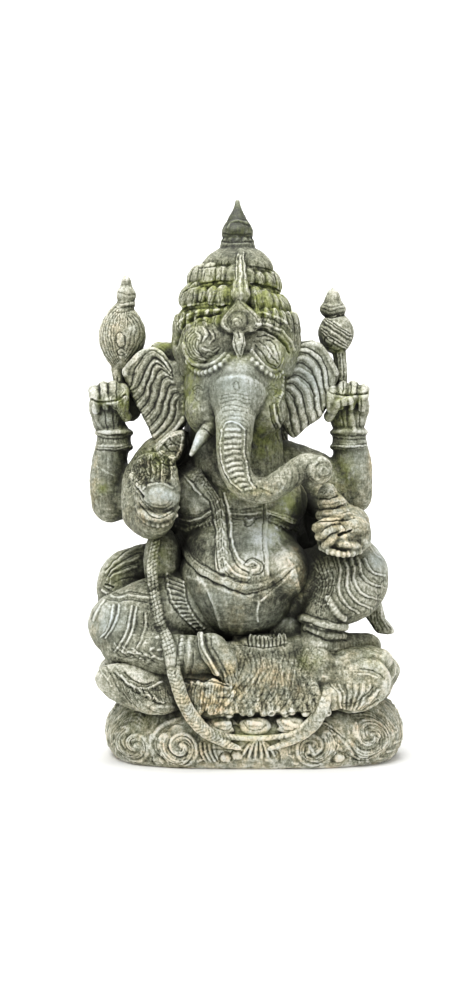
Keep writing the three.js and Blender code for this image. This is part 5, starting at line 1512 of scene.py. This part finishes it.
def markFront(strip, points, width, height, closed=False):
    stroke(strip, onRim(points), width, height, closed, stripCorner)


def markRound(strip, points, width, height):
    stroke(strip, points, width, height, corner=stripCorner)


# A scroll of leaf: a broad coil, grooves along it and small buds round its rim.
def scroll(strip, mark, rng, across, up, radius, start, way, turns=1.5):
    mark(strip, coil(across, up, radius - 2, start, turns, way, 0.12), [17, 16, 13, 9], 4.2)
    for inset, share in ((-18, 0.3), (-13, 0.42), (-8, 0.55), (-2, 0.8), (3, 1), (8, 0.9), (13, 0.7)):
        line = coil(across, up, radius - inset, start + rng.normal(0, 10), turns * share, way, 0.14)
        mark(strip, line, 3.4, -2.8)
    for k in range(9):
        angle = math.radians(start) + way * k * 0.42
        near, far = radius + rng.uniform(1, 3), radius + rng.uniform(7, 11)
        tip = angle + way * 0.2
        mark(strip, [(across + near * math.cos(angle), up + near * math.sin(angle)),
                     (across + far * math.cos(tip), up + far * math.sin(tip))], [6, 3], 2.6)


def makeRimStrip():
    strip = np.zeros(stripSize)
    rng = np.random.default_rng(21)
    for _ in range(420):    # chisel marks all round
        x, z, angle = rng.uniform(-830, 830), rng.uniform(6, 118), rng.uniform(0.6, 2.5)
        step = rng.uniform(4, 8)
        lean = step * math.cos(angle)
        markRound(strip, [(x, z), (x + lean * 0.5 + 1, z + step * 0.5), (x + lean, z + step)], 2.6,
                  rng.uniform(-1.2, -0.4))
    # Front, from left to right.
    for across, up, radius, start, way, turns in ((-188, 44, 34, 120, 1, 1.5), (-108, 40, 36, 150, 1, 1.7),
                                                  (122, 40, 36, 40, -1, 1.6), (222, 60, 42, 200, 1, 1.5)):
        scroll(strip, markFront, rng, across, up, radius, start, way, turns)
    engrave(strip, """
        3 / -2.2 / -152,22 -154,50 -136,76 -112,86 / copies 4 / 3,4 5,3 4,1 3,-3;
        3 / -2.2 / -222,78 -212,98 -196,102 -180,94 / copies 4 / 3,-8 0,-6 0,-6 0,-6;
        3.2 / -2.4 / 138,84 160,70 180,48 200,24 / copies 4 / 5,-3 5,-4 4,-3 2,-1;
        3.2 / -2.4 / 204,104 228,106 250,92 262,66 / copies 4 / 0,-5 0,-6 -3,-4 -5,-2;
        3 / -2 / 62,62 76,46 78,24 / copies 4 / 6,-2 4,-2 3,0;
        3 / -2.4 / -78,48 -76,30 -70,14 / copies 4 / 8,-1 8,0 8,0;
        4 / 2 / -74,47 -72,30 -66,15 / copies 4 / 8,-1 8,0 8,0;
        5 9 8 5 / 2.8 / -158,22 -160,52 -142,80 -116,90; 5 9 8 5 / 2.8 / -228,84 -214,104 -196,108 -178,100;
        5 9 8 5 / 2.8 / 133,86 156,74 176,52 194,28; 5 9 8 5 / 2.8 / 204,110 230,112 256,98 268,70;
        5 9 8 5 / 2.8 / 84,70 100,78 126,84 150,80; 3 / -3 / -50,36 -20,36 4,40; 4 / -4 / 52,40 64,30 66,16;
        5 12 4 / 4 / 203,82 198,66 206,48; 4 10 4 / 3.4 / 226,76 238,66 234,50""", markFront)
    for x, z in ((-152, 15), (172, 20), (-30, 20), (-10, 24)):
        markFront(strip, [(x - 3, z), (x + 3, z)], 13, 3.6)
        markFront(strip, [(x - 11, z - 8), (x - 12, z), (x - 6, z + 10), (x + 6, z + 10), (x + 12, z)], 3.4, -3.4)
    # The fan of leaves in the middle.
    for reach in (-28, -17, -6, 6, 17, 28):
        leaf = [(28 + reach * 0.25, 54), (28 + reach * 0.7, 40), (28 + reach, 20 + abs(reach) * 0.2)]
        groove = [(28 + (reach + 5) * 0.25, 54), (28 + (reach + 5) * 0.7, 40), (28 + reach + 6, 20)]
        markFront(strip, leaf, [4, 7, 4], 4.0)
        markFront(strip, groove, 3, -2.6)
    for turn in np.radians(np.arange(5) * 72):
        markFront(strip, [(122, 36), (122 + 11 * math.cos(turn), 36 + 11 * math.sin(turn))], [4, 8], 2.4)
    # Sides and back: the same scrolls, larger and plainer, in mirrored pairs.
    for side in (-1, 1):
        for along, up, start, way in ((330, 48, 70, -1), (430, 56, 130, 1), (530, 48, 70, -1), (630, 56, 130, 1),
                                      (725, 48, 70, -1)):
            scroll(strip, markRound, rng, side * along, up, 38, start, side * way)
            markRound(strip, [(side * (along + 50), 12), (side * (along + 50), 18)], 15, 5)
            for i in range(3):
                line = np.array([(along + 28 + i * 6, 100 - i * 6), (along + 44 + i * 3, 74 - i * 6),
                                 (along + 52, 42 - i * 4)])
                markRound(strip, line * (side, 1), 3.2, -2.2)
    return strip


rimStrip = makeRimStrip()


def baseRound(places, ways):
    value = readChart(rimStrip, rimPlace(places), places[:, 2], stripCorner)
    value = value * (0.66 + 0.44 * lumps(places, 22, 51)) + 0.9 * lumps(places, 14, 52)
    return value * ramp(np.abs(ways[:, 2]), 0.97, 0.8) * ramp(places[:, 2], 3, 9)


pieces = [
    ("crownAndJewels", crownBig, crownTrims, crownStrokes, crownRound, 125000),
    ("elephantHead", headBig, headTrims, headStrokes, None, 175000),
    ("bellyAndChest", torsoBig, torsoTrims, torsoStrokes, None, 120000),
    ("armsAndHands", armsBig, armsTrims, armsStrokes, None, 175000),
    ("legsAndScarves", legsBig, legsTrims, legsStrokes, None, 165000),
    ("lotusSeat", seatBig, seatTrims, seatStrokes, None, 108000),
    ("scrollBase", baseBig, None, None, baseRound, 90000),
]


def makePieces():
    made = []
    for name, big, trims, strokes, more, most in pieces:
        body = fused(big())
        block = carve(name, [body] + (trims(skinOf(body)) if trims else []), "fine")
        dense = cut(block, strokes, more)
        full = len(block.data.polygons) * 2
        thin(block, most)
        made.append((block, dense))
        print(name, full, "triangles carved,", len(block.data.polygons), "kept")
    return made


# How the far viewpoints are spread, and the map that each keeps of what lies nearest to it.
skyMap = {"views": 48, "quickViews": 16, "goldenTurn": 2.399963, "tallest": 1.55, "cell": 4.0, "half": 300,
          "slack": 6.0}


def cellsOf(spot):
    half = skyMap["half"]
    return (spot[:, 0].astype(int) + half) * half * 2 + spot[:, 1].astype(int) + half


# Many far viewpoints look at the whole figure.
def lookouts(dense, views):
    turn = np.arange(views) * skyMap["goldenTurn"]
    height = 1 - (np.arange(views) + 0.5) / views * skyMap["tallest"]
    flat = np.sqrt(np.clip(1 - height ** 2, 0, 1))
    found = []
    for way in np.column_stack([flat * np.cos(turn), flat * np.sin(turn), height]):
        side = unit(np.cross(way, [0.3, 0.5, 0.81]))
        plane = np.column_stack([side, np.cross(way, side), way * skyMap["cell"]]) / skyMap["cell"]
        spot = dense @ plane
        nearest = np.full((skyMap["half"] * 2) ** 2, -1e9)
        np.maximum.at(nearest, cellsOf(spot), spot[:, 2])
        found.append((way, plane, nearest))
    return found


# How open each place is to the sky and the room.
def openness(places, ways, maps):
    total, seenShare = np.zeros(len(places)), np.zeros(len(places))
    for way, plane, nearest in maps:
        weight = np.clip(ways @ way, 0, 1)
        spot = places @ plane
        hidden = nearest[cellsOf(spot)] - spot[:, 2]
        total += weight
        seenShare += weight * ramp(hidden, skyMap["slack"] + 8, skyMap["slack"])
    return seenShare / np.maximum(total, 0.5)


# Each value moves towards the middle of its neighbours', as often as there are rounds.
def smoothOver(values, edges, rounds):
    if values.ndim > 1:
        return np.stack([smoothOver(column, edges, rounds) for column in values.T], 1)
    one, two, count = edges[:, 0], edges[:, 1], len(values)
    near = np.maximum(np.bincount(one, minlength=count) + np.bincount(two, minlength=count), 1)
    for _ in range(rounds):
        total = np.bincount(one, values[two], count) + np.bincount(two, values[one], count)
        values = values * 0.4 + total / near * 0.6
    return values


def weather(block, maps):
    mesh = block.data
    places, ways, edges = skinArrays(mesh)
    proud = ((places - smoothOver(places, edges, 4)) * ways).sum(1)
    broad = ((places - smoothOver(places, edges, 24)) * ways).sum(1)
    carved = np.zeros(len(places), np.float32)
    mesh.attributes["carved"].data.foreach_get("value", carved)
    clear = smoothOver(openness(places, ways, maps), edges, 1)
    across, up, _ = asSeen(places)
    coats = paint(across, up, places, ways, clear)
    crisp = 0.76 + 0.24 * ramp(up, 120, 300)    # the lower parts have softer edge wear and softer painted shade in their grooves
    # The tone: edge wear and painted shade from the curvature and the carving, painted top light from the upward
    # slope, painted shade where a place is hidden, and the tone spots with their painted shade and painted
    # highlights.
    wornAndShaded = (wearAndShading["level"] + (proud * wearAndShading["proud"] + carved * wearAndShading["carved"]) * crisp + broad * wearAndShading["broad"]
            + wearAndShading["paintedTopLight"] * smoothOver(ways[:, 2], edges, 3) + wearAndShading["open"] * (np.clip(clear, 0, 1) - 0.8)
            + coats.pop("shade"))
    for name, value in {"wornAndShaded": np.clip(wornAndShaded, 0, 1), "clear": clear, **coats}.items():
        mesh.attributes.new(name, "FLOAT", "POINT").data.foreach_set("value", value.astype(np.float32))
    mesh.attributes.remove(mesh.attributes["carved"])


makeStudio()
makeStone()
made = makePieces()
maps = lookouts(np.vstack([dense for _, dense in made]), skyMap["views"])
for block, _ in made:
    weather(block, maps)
    block.data.materials.clear()
    block.data.materials.append(stone)
    block.data.shade_smooth()
    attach(block, "root")
    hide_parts("ganesha_statue")
